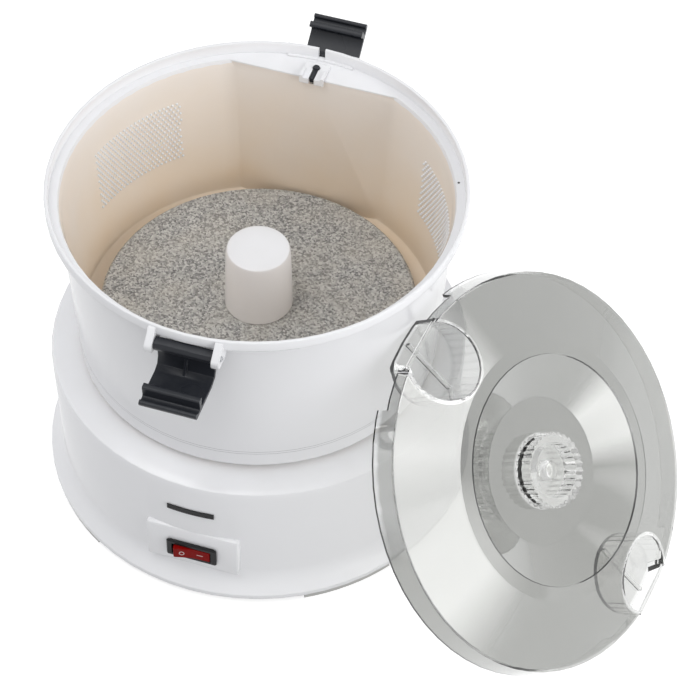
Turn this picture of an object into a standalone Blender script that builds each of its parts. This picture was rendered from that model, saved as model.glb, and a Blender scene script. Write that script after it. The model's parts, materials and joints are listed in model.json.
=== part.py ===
# Electric potato peeler: a bowl with a turning abrasive disc on a motor base,
# two clips hinged under the bowl's rim, and a clear lid leaning on the drum's side.
#
# Frame: +Z up, the drum's axis at x = y = 0, the switch faces -Y.
# z = 0 is the underside of the bottom cover; the feet reach below it.
# All sizes are metres.

import math

import bmesh
import bpy
from mathutils import Matrix, Vector

for item in list(bpy.data.objects):
    bpy.data.objects.remove(item, do_unlink=True)

# Clearances and meshing

GAP = 0.0003                  # between faces that touch
RUNNING_GAP = 0.0005          # round things that turn or slide
OVERRUN = 0.004               # how far a cutter reaches past what it cuts
MERGE = 0.00001               # merge distance of the modifiers
DRUM_SIDES = 60
ROUND_SIDES = 28                # middle-sized round pieces
ROD_SIDES = 16
SCREW_SIDES = 12
ARC_STEPS = 2
SMOOTH_ANGLE = math.radians(32)

# The drum's body, which the other large radii follow

BOWL_LOWER_RADIUS = 0.108     # outside, at its foot
BOWL_TAPER = 0.0065
BOWL_UPPER_RADIUS = BOWL_LOWER_RADIUS + BOWL_TAPER

# Base shell

BASE_WALL = 0.0025
BASE_OVERHANG = 0.0184        # of its top outside the bowl's foot
BASE_TOP_RADIUS = BOWL_LOWER_RADIUS + BASE_OVERHANG
BASE_WAIST_INSET = 0.0026
BASE_WAIST_RADIUS = BASE_TOP_RADIUS - BASE_WAIST_INSET
BASE_WAIST_HEIGHT = 0.0125
BASE_EDGE_FLARE = 0.0082
BASE_EDGE_RADIUS = BASE_WAIST_RADIUS + BASE_EDGE_FLARE
BASE_EDGE_HEIGHT = 0.003
BASE_FLARE_ROUND = 0.022
SHOULDER_OUTER_HEIGHT = 0.0931
SHOULDER_ROUND = 0.0045
SHOULDER_HEIGHT = 0.0955
SPIGOT_INSET = 0.003          # inside the bowl's foot
SPIGOT_RADIUS = BOWL_LOWER_RADIUS - SPIGOT_INSET
SHOULDER_STEP = 0.0045
SHOULDER_INNER_RADIUS = SPIGOT_RADIUS + SHOULDER_STEP
SPIGOT_HEIGHT = 0.0139        # how far the bowl's seat stands above the shoulder
SPIGOT_ROUND = 0.0012
BASE_TOP_Z = SHOULDER_HEIGHT + SPIGOT_HEIGHT
BASE_TOP_UNDERSIDE_Z = BASE_TOP_Z - BASE_WALL
SHAFT_HOLE_RADIUS = 0.009

# Flat pad that carries the switch

PAD_WIDTH = 0.0575
PAD_HEIGHT = 0.0316
PAD_BOTTOM_Z = 0.0177
PAD_SETBACK = 0.001           # inside the base's top
PAD_FACE_DISTANCE = BASE_TOP_RADIUS - PAD_SETBACK
PAD_DEPTH = 0.0056
PAD_ROUND = 0.0014

# Screw bosses inside the base

BOSS_RADIUS = 0.005
BOSS_HEIGHT = 0.024
BOSS_INSET = 0.006            # inside the base's waist
BOSS_DISTANCE = BASE_WAIST_RADIUS - BOSS_INSET
BOSS_ANGLES = (85, 165, 195, 275)

# Bottom cover, its screws and the feet

COVER_THICKNESS = 0.003
COVER_STEP = 0.0005           # its margin, over the feet, above its middle
COVER_SCREW_RECESS = 0.0021    # the screw heads lie inside the cover
COVER_SCREW_RADIUS = 0.0015
COVER_SCREW_LENGTH = 0.014
SCREW_HEAD_RADIUS = 0.0032
SCREW_HEAD_HEIGHT = 0.0016
FOOT_DEPTH = 0.004
FOOT_INSET = 0.001            # inside the base's edge
FOOT_OUTER_RADIUS = BASE_EDGE_RADIUS - FOOT_INSET
FOOT_WIDTH = 0.010
FOOT_SPAN = 25.2
FOOT_ANGLES = (43.1, 136.9, 223.1, 316.9)
FOOT_ARC_STEPS = 8

# Name strip on the base's front, bare

STRIP_LENGTH = 0.029
STRIP_HEIGHT = 0.004
STRIP_THICKNESS = 0.0005
STRIP_MIDDLE_Z = 0.0697
STRIP_ARC_STEPS = 6

# Switch

BEZEL_WIDTH = 0.0314
BEZEL_HEIGHT = 0.014
BEZEL_THICKNESS = 0.002
BEZEL_ROUND = 0.0008
BEZEL_MIDDLE_Z = 0.0318
HOUSING_WIDTH = 0.0272
HOUSING_HEIGHT = 0.0116
HOUSING_DEPTH = 0.021
HOUSING_WALL = 0.0013
ROCKER_PIVOT_DEPTH = 0.004    # behind the bezel's face
ROCKER_LENGTH = 0.0224
ROCKER_RISE = 0.0017          # of its middle over the bezel's face
ROCKER_DISH = 0.0012          # hollow of its pressing face
ROCKER_HEEL_DEPTH = 0.005
ROCKER_HEEL_LENGTH = 0.012
ROCKER_ROUND = 0.0008
ROCKER_TILT = 8.0
TERMINAL_WIDTH = 0.0048
TERMINAL_THICKNESS = 0.0008
TERMINAL_LENGTH = 0.008
TERMINAL_SPACING = 0.012

# Gland for a cord at the rear

GLAND_Z = 0.036
GLAND_FLANGE_RADIUS = 0.0075
GLAND_FLANGE_THICKNESS = 0.003
GLAND_BODY_RADIUS = 0.0052
GLAND_BORE_RADIUS = 0.0032
GLAND_LENGTH = 0.012

# Bowl

BOWL_LOWER_Z = 0.0992
BOWL_FLOOR_THICKNESS = 0.0023
BOWL_FLOOR_BOTTOM_Z = BASE_TOP_Z + GAP
BOWL_FLOOR_Z = BOWL_FLOOR_BOTTOM_Z + BOWL_FLOOR_THICKNESS
BOWL_UPPER_Z = 0.2075
BOWL_WALL = 0.002
BOWL_FLOOR_ROUND = 0.003
RIM_CONE_STEP = 0.002         # the rim's cone foot outside the body
RIM_FLARE = 0.0055            # the rim outside its cone's foot
RIM_CONE_RADIUS = BOWL_UPPER_RADIUS + RIM_CONE_STEP
RIM_RADIUS = RIM_CONE_RADIUS + RIM_FLARE
RIM_TOP_Z = 0.2212
RIM_LOWER_Z = 0.215
RIM_CONE_Z = 0.2085
LIP_WALL = 0.0022
LIP_ROUND = 0.0007
LEDGE_DEPTH = 0.0075
LEDGE_INNER_STEP = 0.0001
LEDGE_INNER_RADIUS = BOWL_UPPER_RADIUS + LEDGE_INNER_STEP
LEDGE_Z = RIM_TOP_Z - LEDGE_DEPTH
HUB_BORE_RADIUS = 0.013
HUB_WALL = 0.0025
HUB_HEIGHT = 0.004
HUB_TOP_Z = BOWL_FLOOR_Z + HUB_HEIGHT

# Flat rear wall in the bowl, with the interlock's shaft behind it

CHORD_HALF_ANGLE = math.radians(25.6)
CHORD_ARC_STEPS = 12
CHORD_SINK = 0.001            # how far its edges reach into the bowl's wall
DECK_THICKNESS = 0.002
LEDGE_STRIP_LENGTH = 0.042
LEDGE_STRIP_WIDTH = 0.0022
LEDGE_STRIP_HEIGHT = 0.0008
NOTCH_WIDTH = 0.0042
NOTCH_DEPTH = 0.007

# Clip ears under the rim

EAR_INNER = 0.0172            # from the clip's middle to the ear's inner face
EAR_THICKNESS = 0.0044
EAR_RADIUS = 0.0052
EAR_TOP_RISE = 0.0085
EAR_SLOPE_FOOT = 0.0009        # where its sloping front ends, over the axis
EAR_ROOT_SINK = 0.001         # of its lower root inside the body's radius
EAR_RIM_SINK = 0.003          # of its upper root inside the rim's radius
HINGE_OFFSET = 0.002          # of the hinge's axis outside the rim
HINGE_DISTANCE = RIM_RADIUS + HINGE_OFFSET
HINGE_Z = 0.2115
HINGE_PIN_RADIUS = 0.0015
HINGE_PIN_PROUD = 0.0006

# Clip

CLIP_WIDTH = 2 * (EAR_INNER - RUNNING_GAP)
CLIP_BARREL_RADIUS = 0.0032
CLIP_WALL = 0.0022
CLIP_SETBACK = 0.0030         # of the limb's outer face behind the hinge's axis
CLIP_DROP = 0.0224            # from the axis to the limb's underside
CLIP_REACH = 0.0284           # from the axis to the lip's end
CLIP_LIP_HEIGHT = 0.0042
CLIP_LIP_THICKNESS = 0.0026
CLIP_BEAD_OUT = 0.0204
CLIP_BEAD_THICKNESS = 0.0038
CLIP_BEAD_HEIGHT = 0.0099
CLIP_BEAD_NECK = 0.0026
CLIP_INNER_ROUND = 0.0060
CLIP_OUTER_ROUND = 0.0082
CLIP_RIB_WIDTH = 0.0016
CLIP_RIB_SIZE = 0.0060
FRONT_CLIP_SWING = 0.0
REAR_CLIP_SWING = 38.0

# Interlock: bracket, push pin, its return spring and the microswitch

BRACKET_WIDTH = 0.015
BRACKET_LENGTH = 0.0150
BRACKET_CLEARANCE = 0.0012    # of its apron in front of the flat rear wall
BRACKET_THICKNESS = 0.0016
BRACKET_APRON_THICKNESS = 0.0018
BRACKET_APRON_DROP = 0.0024
BRACKET_LUG_WIDTH = 0.0020
BRACKET_LUG_HEIGHT = 0.0016
BRACKET_LUG_LENGTH = 0.0078
PIN_RADIUS = 0.0011
PIN_SETBACK = 0.0106          # of its top behind the bracket's front
PIN_TOP_Z = 0.2158
PIN_FOOT_INSET = 0.005        # inside the bowl's seat
PIN_FOOT_DISTANCE = SPIGOT_RADIUS - PIN_FOOT_INSET
PIN_FOOT_Z = 0.1080
PIN_HEAD_RADIUS = 0.00185
PIN_HEAD_HEIGHT = 0.0018
PIN_ARM_WIDTH = 0.0024
PIN_ARM_DEPTH = 0.0030
PIN_ARM_REACH = 0.0098
PIN_COLLAR_RADIUS = 0.0019
PIN_COLLAR_HEIGHT = 0.0015
PIN_TRAVEL = 0.003
SPRING_WIRE_RADIUS = 0.00022
SPRING_COIL_RADIUS = 0.0016
SPRING_LENGTH = 0.018
SPRING_TURNS = 6
SPRING_POINTS_A_TURN = 8
SWITCH_WIDTH = 0.012
SWITCH_DEPTH = 0.0056
SWITCH_HEIGHT = 0.012
SWITCH_BUTTON_RADIUS = 0.0012
SWITCH_BUTTON_HEIGHT = 0.0014

# Peeling disc, its post and the coupling

DISC_EDGE_GAP = 0.0016        # to the flat rear wall
DISC_THICKNESS = 0.003
DISC_EDGE_TURN = 0.0016       # how far its edge is turned down
SOCKET_RADIUS = 0.011
SOCKET_FLANGE_RADIUS = 0.0145
SOCKET_FLANGE_THICKNESS = 0.0036
SOCKET_HEX_DEPTH = 0.0085
POST_RADIUS = 0.0193
POST_FOOT_RADIUS = 0.0206
POST_TOP_Z = 0.1685
POST_ROUND = 0.003
POST_WALL = 0.0022
DOG_RADIUS = 0.0068
BUSH_WALL = 0.0014

# Gear train

TOOTH_SIZE = 0.0020           # pitch diameter over the number of teeth
TOOTH_DEPTH = 0.0026
TOOTH_RISE_SHARE = 0.35        # of a tooth's step that each flank takes
PINION_TEETH = 8
IDLER_WHEEL_TEETH = 30
IDLER_PINION_TEETH = 9
OUTPUT_TEETH = 36
OUTPUT_WHEEL_THICKNESS = 0.007
IDLER_WHEEL_THICKNESS = 0.006
PINION_LENGTH = 0.008
GEAR_LEVEL_SPACING = 0.0012
SHAFT_RADIUS = 0.005
SHAFT_FOOT_LENGTH = 0.006
GEAR_PLATE_INSET = 0.019      # inside the base's top
GEAR_PLATE_RADIUS = SPIGOT_RADIUS - GEAR_PLATE_INSET
GEAR_PLATE_THICKNESS = 0.003
GEAR_PLATE_Z = 0.0790
IDLER_ANGLE = 90.0
MOTOR_TURN = 100.0            # from the idler's line to the motor's, at the idler
IDLER_PIN_RADIUS = 0.0022
PLATE_POST_RADIUS = 0.004
PLATE_POST_INSET = 0.007
PLATE_POST_DISTANCE = GEAR_PLATE_RADIUS - PLATE_POST_INSET
PLATE_POST_ANGLES = (8, 150, 225, 318)

# Motor

MOTOR_RADIUS = 0.031
MOTOR_HEIGHT = 0.052
MOTOR_ROUND = 0.002
MOTOR_CAP_HEIGHT = 0.006
MOTOR_CAP_RADIUS = 0.0275
MOTOR_SHAFT_RADIUS = 0.0022
MOTOR_SCREW_RADIUS = 0.0015
MOTOR_SCREW_DISTANCE = 0.018
MOTOR_SCREW_LENGTH = 0.006

# Lid, in its own frame: z along its axis, z = 0 at its front edge

LID_WALL = 0.0018
LID_EDGE_INSET = 0.0056       # inside the bowl's rim
LID_SKIRT_FLARE = 0.0024
LID_EDGE_RADIUS = RIM_RADIUS - LID_EDGE_INSET
LID_SKIRT_RADIUS = LID_EDGE_RADIUS + LID_SKIRT_FLARE
LID_SKIRT_DEPTH = 0.0148
LID_SLOPE_WIDTH = 0.0404
LID_SHOULDER_RADIUS = LID_EDGE_RADIUS - LID_SLOPE_WIDTH
LID_SHOULDER_HEIGHT = 0.0115
LID_RIDGE_WIDTH = 0.0086
LID_RIDGE_RADIUS = LID_SHOULDER_RADIUS - LID_RIDGE_WIDTH
LID_RIDGE_HEIGHT = 0.0129
LID_DISH_RADIUS = 0.043
LID_POCKET_RADIUS = 0.0225
LID_POCKET_INSET = 0.0164     # of its middle inside the lid's edge
LID_POCKET_DISTANCE = LID_EDGE_RADIUS - LID_POCKET_INSET
LID_POCKET_DEPTH = 0.013
LID_POCKET_SIDES = 32
LID_RIB_WIDTH = 0.0016
LID_RIB_HEIGHT = 0.0030
LID_RAISE_HALF_ANGLE = 21.0
LID_RAISE_DEPTH = 0.008       # of the raised stretch of the skirt, by the pockets
LID_BAR_RADIUS = 0.0013
LID_BAR_INSET = 0.0006
LID_BAR_DISTANCE = LID_EDGE_RADIUS - LID_BAR_INSET
LID_BAR_DEPTH = 0.0018
LID_BAR_HALF_LENGTH = 0.0185
LID_TILT = 51.2
LID_FACING = -16.9
LID_PLACE_ANGLE = -15.6
LID_SPIN = 12.5
KNOB_RADIUS = 0.0222
KNOB_HEIGHT = 0.0117
KNOB_WALL = 0.0060
KNOB_FLUTES = 30
KNOB_FLUTE_DEPTH = 0.0013
KNOB_FLOOR = 0.0016
KNOB_DOME_RADIUS = 0.0063
KNOB_DOME_HEIGHT = 0.0060
KNOB_DOME_ROUND_SHARE = 0.7     # of its radius


# Sizes that follow from those above


def bowl_radius(z):
    """Outer radius of the bowl's body at height z."""
    share = (z - BOWL_LOWER_Z) / (BOWL_UPPER_Z - BOWL_LOWER_Z)
    return BOWL_LOWER_RADIUS + share * (BOWL_UPPER_RADIUS - BOWL_LOWER_RADIUS)


def bowl_inner_radius(z):
    return bowl_radius(z) - BOWL_WALL


def chord_distance(z):
    """Distance of the flat rear wall's inner face from the drum's axis at height z."""
    return bowl_inner_radius(z) * math.cos(CHORD_HALF_ANGLE)


def base_radius(z):
    """Outer radius of the base's wall at height z, above its flare."""
    share = (z - BASE_WAIST_HEIGHT) / (SHOULDER_OUTER_HEIGHT - BASE_WAIST_HEIGHT)
    return BASE_WAIST_RADIUS + share * (BASE_TOP_RADIUS - BASE_WAIST_RADIUS)


def pitch_radius(teeth):
    return teeth * TOOTH_SIZE / 2


# Helpers

MODEL = bpy.data.collections.new("potato_peeler")
TOOLS = bpy.data.collections.new("cutters")
for collection in (MODEL, TOOLS):
    bpy.context.scene.collection.children.link(collection)


def new_material(name, colour, roughness, metallic=0.0, alpha=1.0):
    material = bpy.data.materials.new(name)
    material.use_nodes = True
    shader = material.node_tree.nodes["Principled BSDF"]
    shader.inputs["Base Color"].default_value = (*colour, 1.0)
    shader.inputs["Roughness"].default_value = roughness
    shader.inputs["Metallic"].default_value = metallic
    shader.inputs["Alpha"].default_value = alpha
    return material


def add_object(name, mesh, collection=MODEL):
    item = bpy.data.objects.new(name, mesh)
    collection.objects.link(item)
    return item


def as_tool(item):
    """Move an object to the cutters' collection, where it only shapes others."""
    for collection in list(item.users_collection):
        collection.objects.unlink(item)
    TOOLS.objects.link(item)
    item.hide_render = True
    item.display_type = "WIRE"
    return item


def from_bmesh(name, shape):
    mesh = bpy.data.meshes.new(name)
    shape.to_mesh(mesh)
    shape.free()
    return add_object(name, mesh)


def evaluated_mesh(item):
    bpy.context.view_layer.update()
    graph = bpy.context.evaluated_depsgraph_get()
    return bpy.data.meshes.new_from_object(item.evaluated_get(graph))


def rounded(corners, steps=ARC_STEPS):
    """Turn corners (x, y, radius) into points, with an arc in place of each corner."""
    points = []
    for index, (x, y, radius) in enumerate(corners):
        here = Vector((x, y))
        if radius == 0:
            points.append(here)
            continue
        back = Vector(corners[index - 1][:2]) - here
        ahead = Vector(corners[(index + 1) % len(corners)][:2]) - here
        half = back.angle(ahead) / 2
        reach = min(radius / math.tan(half), back.length / 2, ahead.length / 2)
        radius = reach * math.tan(half)
        middle = (back.normalized() + ahead.normalized()).normalized()
        centre = here + middle * radius / math.sin(half)
        start = here + back.normalized() * reach - centre
        end = here + ahead.normalized() * reach - centre
        first = math.atan2(start.y, start.x)
        sweep = math.atan2(end.y, end.x) - first
        sweep = (sweep + math.pi) % (2 * math.pi) - math.pi
        for step in range(steps + 1):
            angle = first + sweep * step / steps
            points.append(centre + radius * Vector((math.cos(angle), math.sin(angle))))
    return points


def turned(name, corners, wall=0.0, sides=DRUM_SIDES, steps=ARC_STEPS):
    """Revolve a profile of corners (radius, z, rounding) about Z.

    The profile runs down its outer side. It is closed unless it starts on the axis,
    or is given a wall, which makes a shell of an open profile.
    """
    points = rounded(corners, steps)
    mesh = bpy.data.meshes.new(name)
    links = [(i, i + 1) for i in range(len(points) - 1)]
    if points[0].x > 0 and not wall:
        links.append((len(points) - 1, 0))
    mesh.from_pydata([(p.x, 0, p.y) for p in points], links, [])
    item = add_object(name, mesh)
    screw = item.modifiers.new("turn", "SCREW")
    screw.axis = "Z"
    screw.steps = sides
    screw.render_steps = sides
    screw.use_merge_vertices = True
    screw.merge_threshold = MERGE
    if wall:
        thick = item.modifiers.new("wall", "SOLIDIFY")
        thick.thickness = wall
        thick.offset = -1
        thick.use_even_offset = True
    return item


def plate(name, outlines, low, high):
    """A flat piece with the given closed outlines in x and y, from z low to z high."""
    curve = bpy.data.curves.new(name, "CURVE")
    curve.dimensions = "2D"
    curve.fill_mode = "BOTH"
    curve.extrude = (high - low) / 2
    for outline in outlines:
        spline = curve.splines.new("POLY")
        spline.points.add(len(outline) - 1)
        for point, place in zip(spline.points, outline):
            point.co = (place[0], place[1], 0, 1)
        spline.use_cyclic_u = True
    guide = add_object(name + "_outline", curve)
    mesh = evaluated_mesh(guide)
    bpy.data.objects.remove(guide, do_unlink=True)
    shape = bmesh.new()
    shape.from_mesh(mesh)
    bmesh.ops.remove_doubles(shape, verts=shape.verts, dist=MERGE)
    bmesh.ops.recalc_face_normals(shape, faces=shape.faces)
    bmesh.ops.translate(shape, verts=shape.verts, vec=(0, 0, (high + low) / 2))
    bpy.data.meshes.remove(mesh)
    return from_bmesh(name, shape)


def box(name, low, high):
    """A box between two corners."""
    low = Vector(low)
    high = Vector(high)
    size = high - low
    shape = bmesh.new()
    bmesh.ops.create_cube(shape, size=1)
    bmesh.ops.scale(shape, verts=shape.verts, vec=size)
    bmesh.ops.translate(shape, verts=shape.verts, vec=(low + high) / 2)
    return from_bmesh(name, shape)


def rod(name, radius, start, end, sides=ROD_SIDES):
    """A round bar between two points."""
    start = Vector(start)
    end = Vector(end)
    along = end - start
    shape = bmesh.new()
    bmesh.ops.create_cone(shape, cap_ends=True, segments=sides, radius1=radius,
                          radius2=radius, depth=along.length)
    turn = Vector((0, 0, 1)).rotation_difference(along.normalized()).to_matrix().to_4x4()
    half_step = Matrix.Rotation(math.pi / sides, 4, "Z")
    place = Matrix.Translation((start + end) / 2) @ turn @ half_step
    bmesh.ops.transform(shape, verts=shape.verts, matrix=place)
    return from_bmesh(name, shape)


def circle(radius, sides=ROD_SIDES, centre=(0, 0)):
    return [(centre[0] + radius * math.cos(2 * math.pi * i / sides),
             centre[1] + radius * math.sin(2 * math.pi * i / sides)) for i in range(sides)]


def sector(inner, outer, middle, span, steps):
    """Outline of a ring's stretch; the angles are degrees from the front, seen from above."""
    first = math.radians(middle - span / 2)
    turn = math.radians(span) / steps
    angles = [first + turn * i for i in range(steps + 1)]
    outside = [(outer * math.sin(a), -outer * math.cos(a)) for a in angles]
    inside = [(inner * math.sin(a), -inner * math.cos(a)) for a in reversed(angles)]
    return outside + inside


def at_angle(distance, angle, z):
    """A place at a distance from the drum's axis; the angle is degrees from the front."""
    turn = math.radians(angle)
    return Vector((distance * math.sin(turn), -distance * math.cos(turn), z))


def boolean(item, tool, operation):
    as_tool(tool)
    step = item.modifiers.new(operation.lower(), "BOOLEAN")
    step.operation = operation
    step.object = tool
    step.solver = "EXACT"


def cut(item, tool):
    boolean(item, tool, "DIFFERENCE")


def join(item, tool):
    boolean(item, tool, "UNION")


def keep_inside(item, tool):
    boolean(item, tool, "INTERSECT")


def bevel(item, width, segments=2):
    step = item.modifiers.new("round", "BEVEL")
    step.width = width
    step.segments = segments
    step.limit_method = "ANGLE"


def finish(item, material, parent=None):
    """Apply the modifiers, shade round faces smooth, set the material and the parent."""
    mesh = evaluated_mesh(item)
    item.modifiers.clear()
    item.data = mesh
    mesh.name = item.name
    mesh.shade_smooth()
    mesh.set_sharp_from_angle(angle=SMOOTH_ANGLE)
    mesh.materials.clear()
    mesh.materials.append(material)
    if parent:
        item.parent = parent
        item.matrix_parent_inverse = parent.matrix_world.inverted()
    return item


def set_in_frame(item, parent):
    """Place a piece that was modelled in its parent's own frame."""
    item.parent = parent
    item.matrix_parent_inverse = Matrix.Identity(4)


def empty(name, matrix):
    item = bpy.data.objects.new(name, None)
    MODEL.objects.link(item)
    item.matrix_world = matrix
    bpy.context.view_layer.update()
    return item


# Base


def base_shell(material, parent):
    shell = turned("base_shell", [
        (SHAFT_HOLE_RADIUS, BASE_TOP_Z, 0),
        (SPIGOT_RADIUS, BASE_TOP_Z, SPIGOT_ROUND),
        (SPIGOT_RADIUS, SHOULDER_HEIGHT, 0),
        (SHOULDER_INNER_RADIUS, SHOULDER_HEIGHT, 0),
        (BASE_TOP_RADIUS, SHOULDER_OUTER_HEIGHT, SHOULDER_ROUND),
        (BASE_WAIST_RADIUS, BASE_WAIST_HEIGHT, BASE_FLARE_ROUND),
        (BASE_EDGE_RADIUS, BASE_EDGE_HEIGHT, 0),
        (BASE_EDGE_RADIUS, 0, 0),
        (BASE_EDGE_RADIUS - BASE_WALL, 0, 0),
        (BASE_EDGE_RADIUS - BASE_WALL, BASE_EDGE_HEIGHT, 0),
        (BASE_WAIST_RADIUS - BASE_WALL, BASE_WAIST_HEIGHT, BASE_FLARE_ROUND),
        (BASE_TOP_RADIUS - BASE_WALL, SHOULDER_OUTER_HEIGHT - BASE_WALL, 0),
        (SPIGOT_RADIUS - BASE_WALL, SHOULDER_HEIGHT - BASE_WALL, 0),
        (SPIGOT_RADIUS - BASE_WALL, BASE_TOP_UNDERSIDE_Z, 0),
        (SHAFT_HOLE_RADIUS, BASE_TOP_UNDERSIDE_Z, 0),
    ])
    pad = box("base_pad", (-PAD_WIDTH / 2, -PAD_FACE_DISTANCE, PAD_BOTTOM_Z),
              (PAD_WIDTH / 2, -PAD_FACE_DISTANCE + PAD_DEPTH, PAD_BOTTOM_Z + PAD_HEIGHT))
    bevel(pad, PAD_ROUND)
    join(shell, pad)
    for number, angle in enumerate(BOSS_ANGLES):
        low = at_angle(BOSS_DISTANCE, angle, COVER_THICKNESS + GAP)
        join(shell, rod(f"base_boss_{number}", BOSS_RADIUS, low, low + Vector((0, 0, BOSS_HEIGHT))))
    for number, angle in enumerate(BOSS_ANGLES):
        low = at_angle(BOSS_DISTANCE, angle, -OVERRUN)
        top = Vector((low.x, low.y, cover_screw_seat() + COVER_SCREW_LENGTH + GAP))
        cut(shell, rod(f"base_boss_bore_{number}", COVER_SCREW_RADIUS + GAP, low, top))
    half_width = HOUSING_WIDTH / 2 + GAP
    half_height = HOUSING_HEIGHT / 2 + GAP
    cut(shell, box("switch_opening",
                   (-half_width, -PAD_FACE_DISTANCE - OVERRUN, BEZEL_MIDDLE_Z - half_height),
                   (half_width, -PAD_FACE_DISTANCE + PAD_DEPTH + OVERRUN, BEZEL_MIDDLE_Z + half_height)))
    wall_distance = base_radius(GLAND_Z)
    cut(shell, rod("gland_opening", GLAND_BODY_RADIUS + GAP,
                   (0, wall_distance - BASE_WALL - OVERRUN, GLAND_Z), (0, wall_distance + OVERRUN, GLAND_Z)))
    low = pin_place(BASE_TOP_UNDERSIDE_Z - OVERRUN)
    cut(shell, rod("pin_opening", PIN_RADIUS + RUNNING_GAP, low, pin_place(BASE_TOP_Z + OVERRUN)))
    return finish(shell, material, parent)


def cover_screw_seat():
    """Height of the cover screws' bearing faces."""
    return COVER_SCREW_RECESS - GAP


def cover_radius():
    return BASE_EDGE_RADIUS - BASE_WALL - GAP - RUNNING_GAP


def cover_middle_radius():
    return FOOT_OUTER_RADIUS - FOOT_WIDTH - RUNNING_GAP


def bottom_cover(material, parent):
    cover = turned("bottom_cover", [
        (0, COVER_THICKNESS, 0),
        (cover_radius(), COVER_THICKNESS, 0),
        (cover_radius(), COVER_STEP, 0),
        (cover_middle_radius(), COVER_STEP, 0),
        (cover_middle_radius(), 0, 0),
        (0, 0, 0),
    ], sides=2 * ROUND_SIDES)
    for number, angle in enumerate(BOSS_ANGLES):
        low = at_angle(BOSS_DISTANCE, angle, -OVERRUN)
        top = Vector((low.x, low.y, COVER_THICKNESS + OVERRUN))
        cut(cover, rod(f"cover_bore_{number}", COVER_SCREW_RADIUS + GAP, low, top))
        recess_top = Vector((low.x, low.y, COVER_SCREW_RECESS))
        cut(cover, rod(f"cover_recess_{number}", SCREW_HEAD_RADIUS + GAP, low, recess_top))
    return finish(cover, material, parent)


def screw(name, radius, length, material, parent, place, head_up=False):
    """A pan-head screw; its head's bearing face is at the place."""
    head = SCREW_HEAD_HEIGHT
    item = turned(name, [
        (0, length, 0),
        (radius, length, 0),
        (radius, 0, 0),
        (SCREW_HEAD_RADIUS, 0, 0),
        (SCREW_HEAD_RADIUS - head / 2, -head, 0),
        (0, -head, 0),
    ], sides=SCREW_SIDES)
    turn = Matrix.Rotation(math.pi, 4, "X") if head_up else Matrix.Identity(4)
    item.matrix_world = Matrix.Translation(place) @ turn
    return finish(item, material, parent)


def cover_screws(material, parent):
    for number, angle in enumerate(BOSS_ANGLES, 1):
        place = at_angle(BOSS_DISTANCE, angle, cover_screw_seat())
        screw(f"cover_screw_{number}", COVER_SCREW_RADIUS, COVER_SCREW_LENGTH, material, parent, place)


def feet(material, parent):
    for number, angle in enumerate(FOOT_ANGLES, 1):
        outline = sector(FOOT_OUTER_RADIUS - FOOT_WIDTH, FOOT_OUTER_RADIUS, angle, FOOT_SPAN, FOOT_ARC_STEPS)
        foot = plate(f"foot_{number}", [outline], -FOOT_DEPTH, -GAP)
        finish(foot, material, parent)


def name_strip(material, parent):
    outer = base_radius(STRIP_MIDDLE_Z + STRIP_HEIGHT / 2) + GAP
    span = math.degrees(STRIP_LENGTH / outer)
    outline = sector(outer, outer + STRIP_THICKNESS, 0, span, STRIP_ARC_STEPS)
    strip = plate("name_strip", [outline], STRIP_MIDDLE_Z - STRIP_HEIGHT / 2,
                  STRIP_MIDDLE_Z + STRIP_HEIGHT / 2)
    return finish(strip, material, parent)


# Switch


def switch_housing(material, parent):
    face = -PAD_FACE_DISTANCE - GAP - BEZEL_THICKNESS
    back = -PAD_FACE_DISTANCE - GAP
    half_width = BEZEL_WIDTH / 2
    half_height = BEZEL_HEIGHT / 2
    housing = box("switch_housing", (-half_width, face, BEZEL_MIDDLE_Z - half_height),
                  (half_width, back, BEZEL_MIDDLE_Z + half_height))
    bevel(housing, BEZEL_ROUND, 1)
    half_width = HOUSING_WIDTH / 2
    half_height = HOUSING_HEIGHT / 2
    join(housing, box("housing_body", (-half_width, face + BEZEL_THICKNESS / 2, BEZEL_MIDDLE_Z - half_height),
                      (half_width, back + HOUSING_DEPTH, BEZEL_MIDDLE_Z + half_height)))
    half_width -= HOUSING_WALL
    half_height -= HOUSING_WALL
    cut(housing, box("housing_hollow", (-half_width, face - OVERRUN, BEZEL_MIDDLE_Z - half_height),
                     (half_width, back + HOUSING_DEPTH - HOUSING_WALL, BEZEL_MIDDLE_Z + half_height)))
    return finish(housing, material, parent)


def rocker(material, parent):
    """Modelled about its pivot: x along its length, y out of the base, z its width."""
    half = ROCKER_LENGTH / 2
    crown = ROCKER_PIVOT_DEPTH + ROCKER_RISE
    heel = ROCKER_HEEL_LENGTH / 2
    outline = rounded([
        (half, crown, ROCKER_ROUND),
        (0, crown - ROCKER_DISH, ROCKER_ROUND),
        (-half, crown, ROCKER_ROUND),
        (-half, 0, ROCKER_ROUND),
        (-heel, -ROCKER_HEEL_DEPTH, ROCKER_ROUND),
        (heel, -ROCKER_HEEL_DEPTH, ROCKER_ROUND),
        (half, 0, ROCKER_ROUND),
    ])
    half_height = HOUSING_HEIGHT / 2 - HOUSING_WALL - RUNNING_GAP
    key = plate("rocker", [outline], -half_height, half_height)
    finish(key, material)
    set_in_frame(key, parent)
    return key


def rocker_frame():
    face = -PAD_FACE_DISTANCE - GAP - BEZEL_THICKNESS
    place = Matrix.Translation((0, face + ROCKER_PIVOT_DEPTH, BEZEL_MIDDLE_Z))
    outwards = Matrix.Rotation(math.pi, 4, "Z")
    return place @ outwards @ Matrix.Rotation(math.radians(ROCKER_TILT), 4, "Z")


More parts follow.
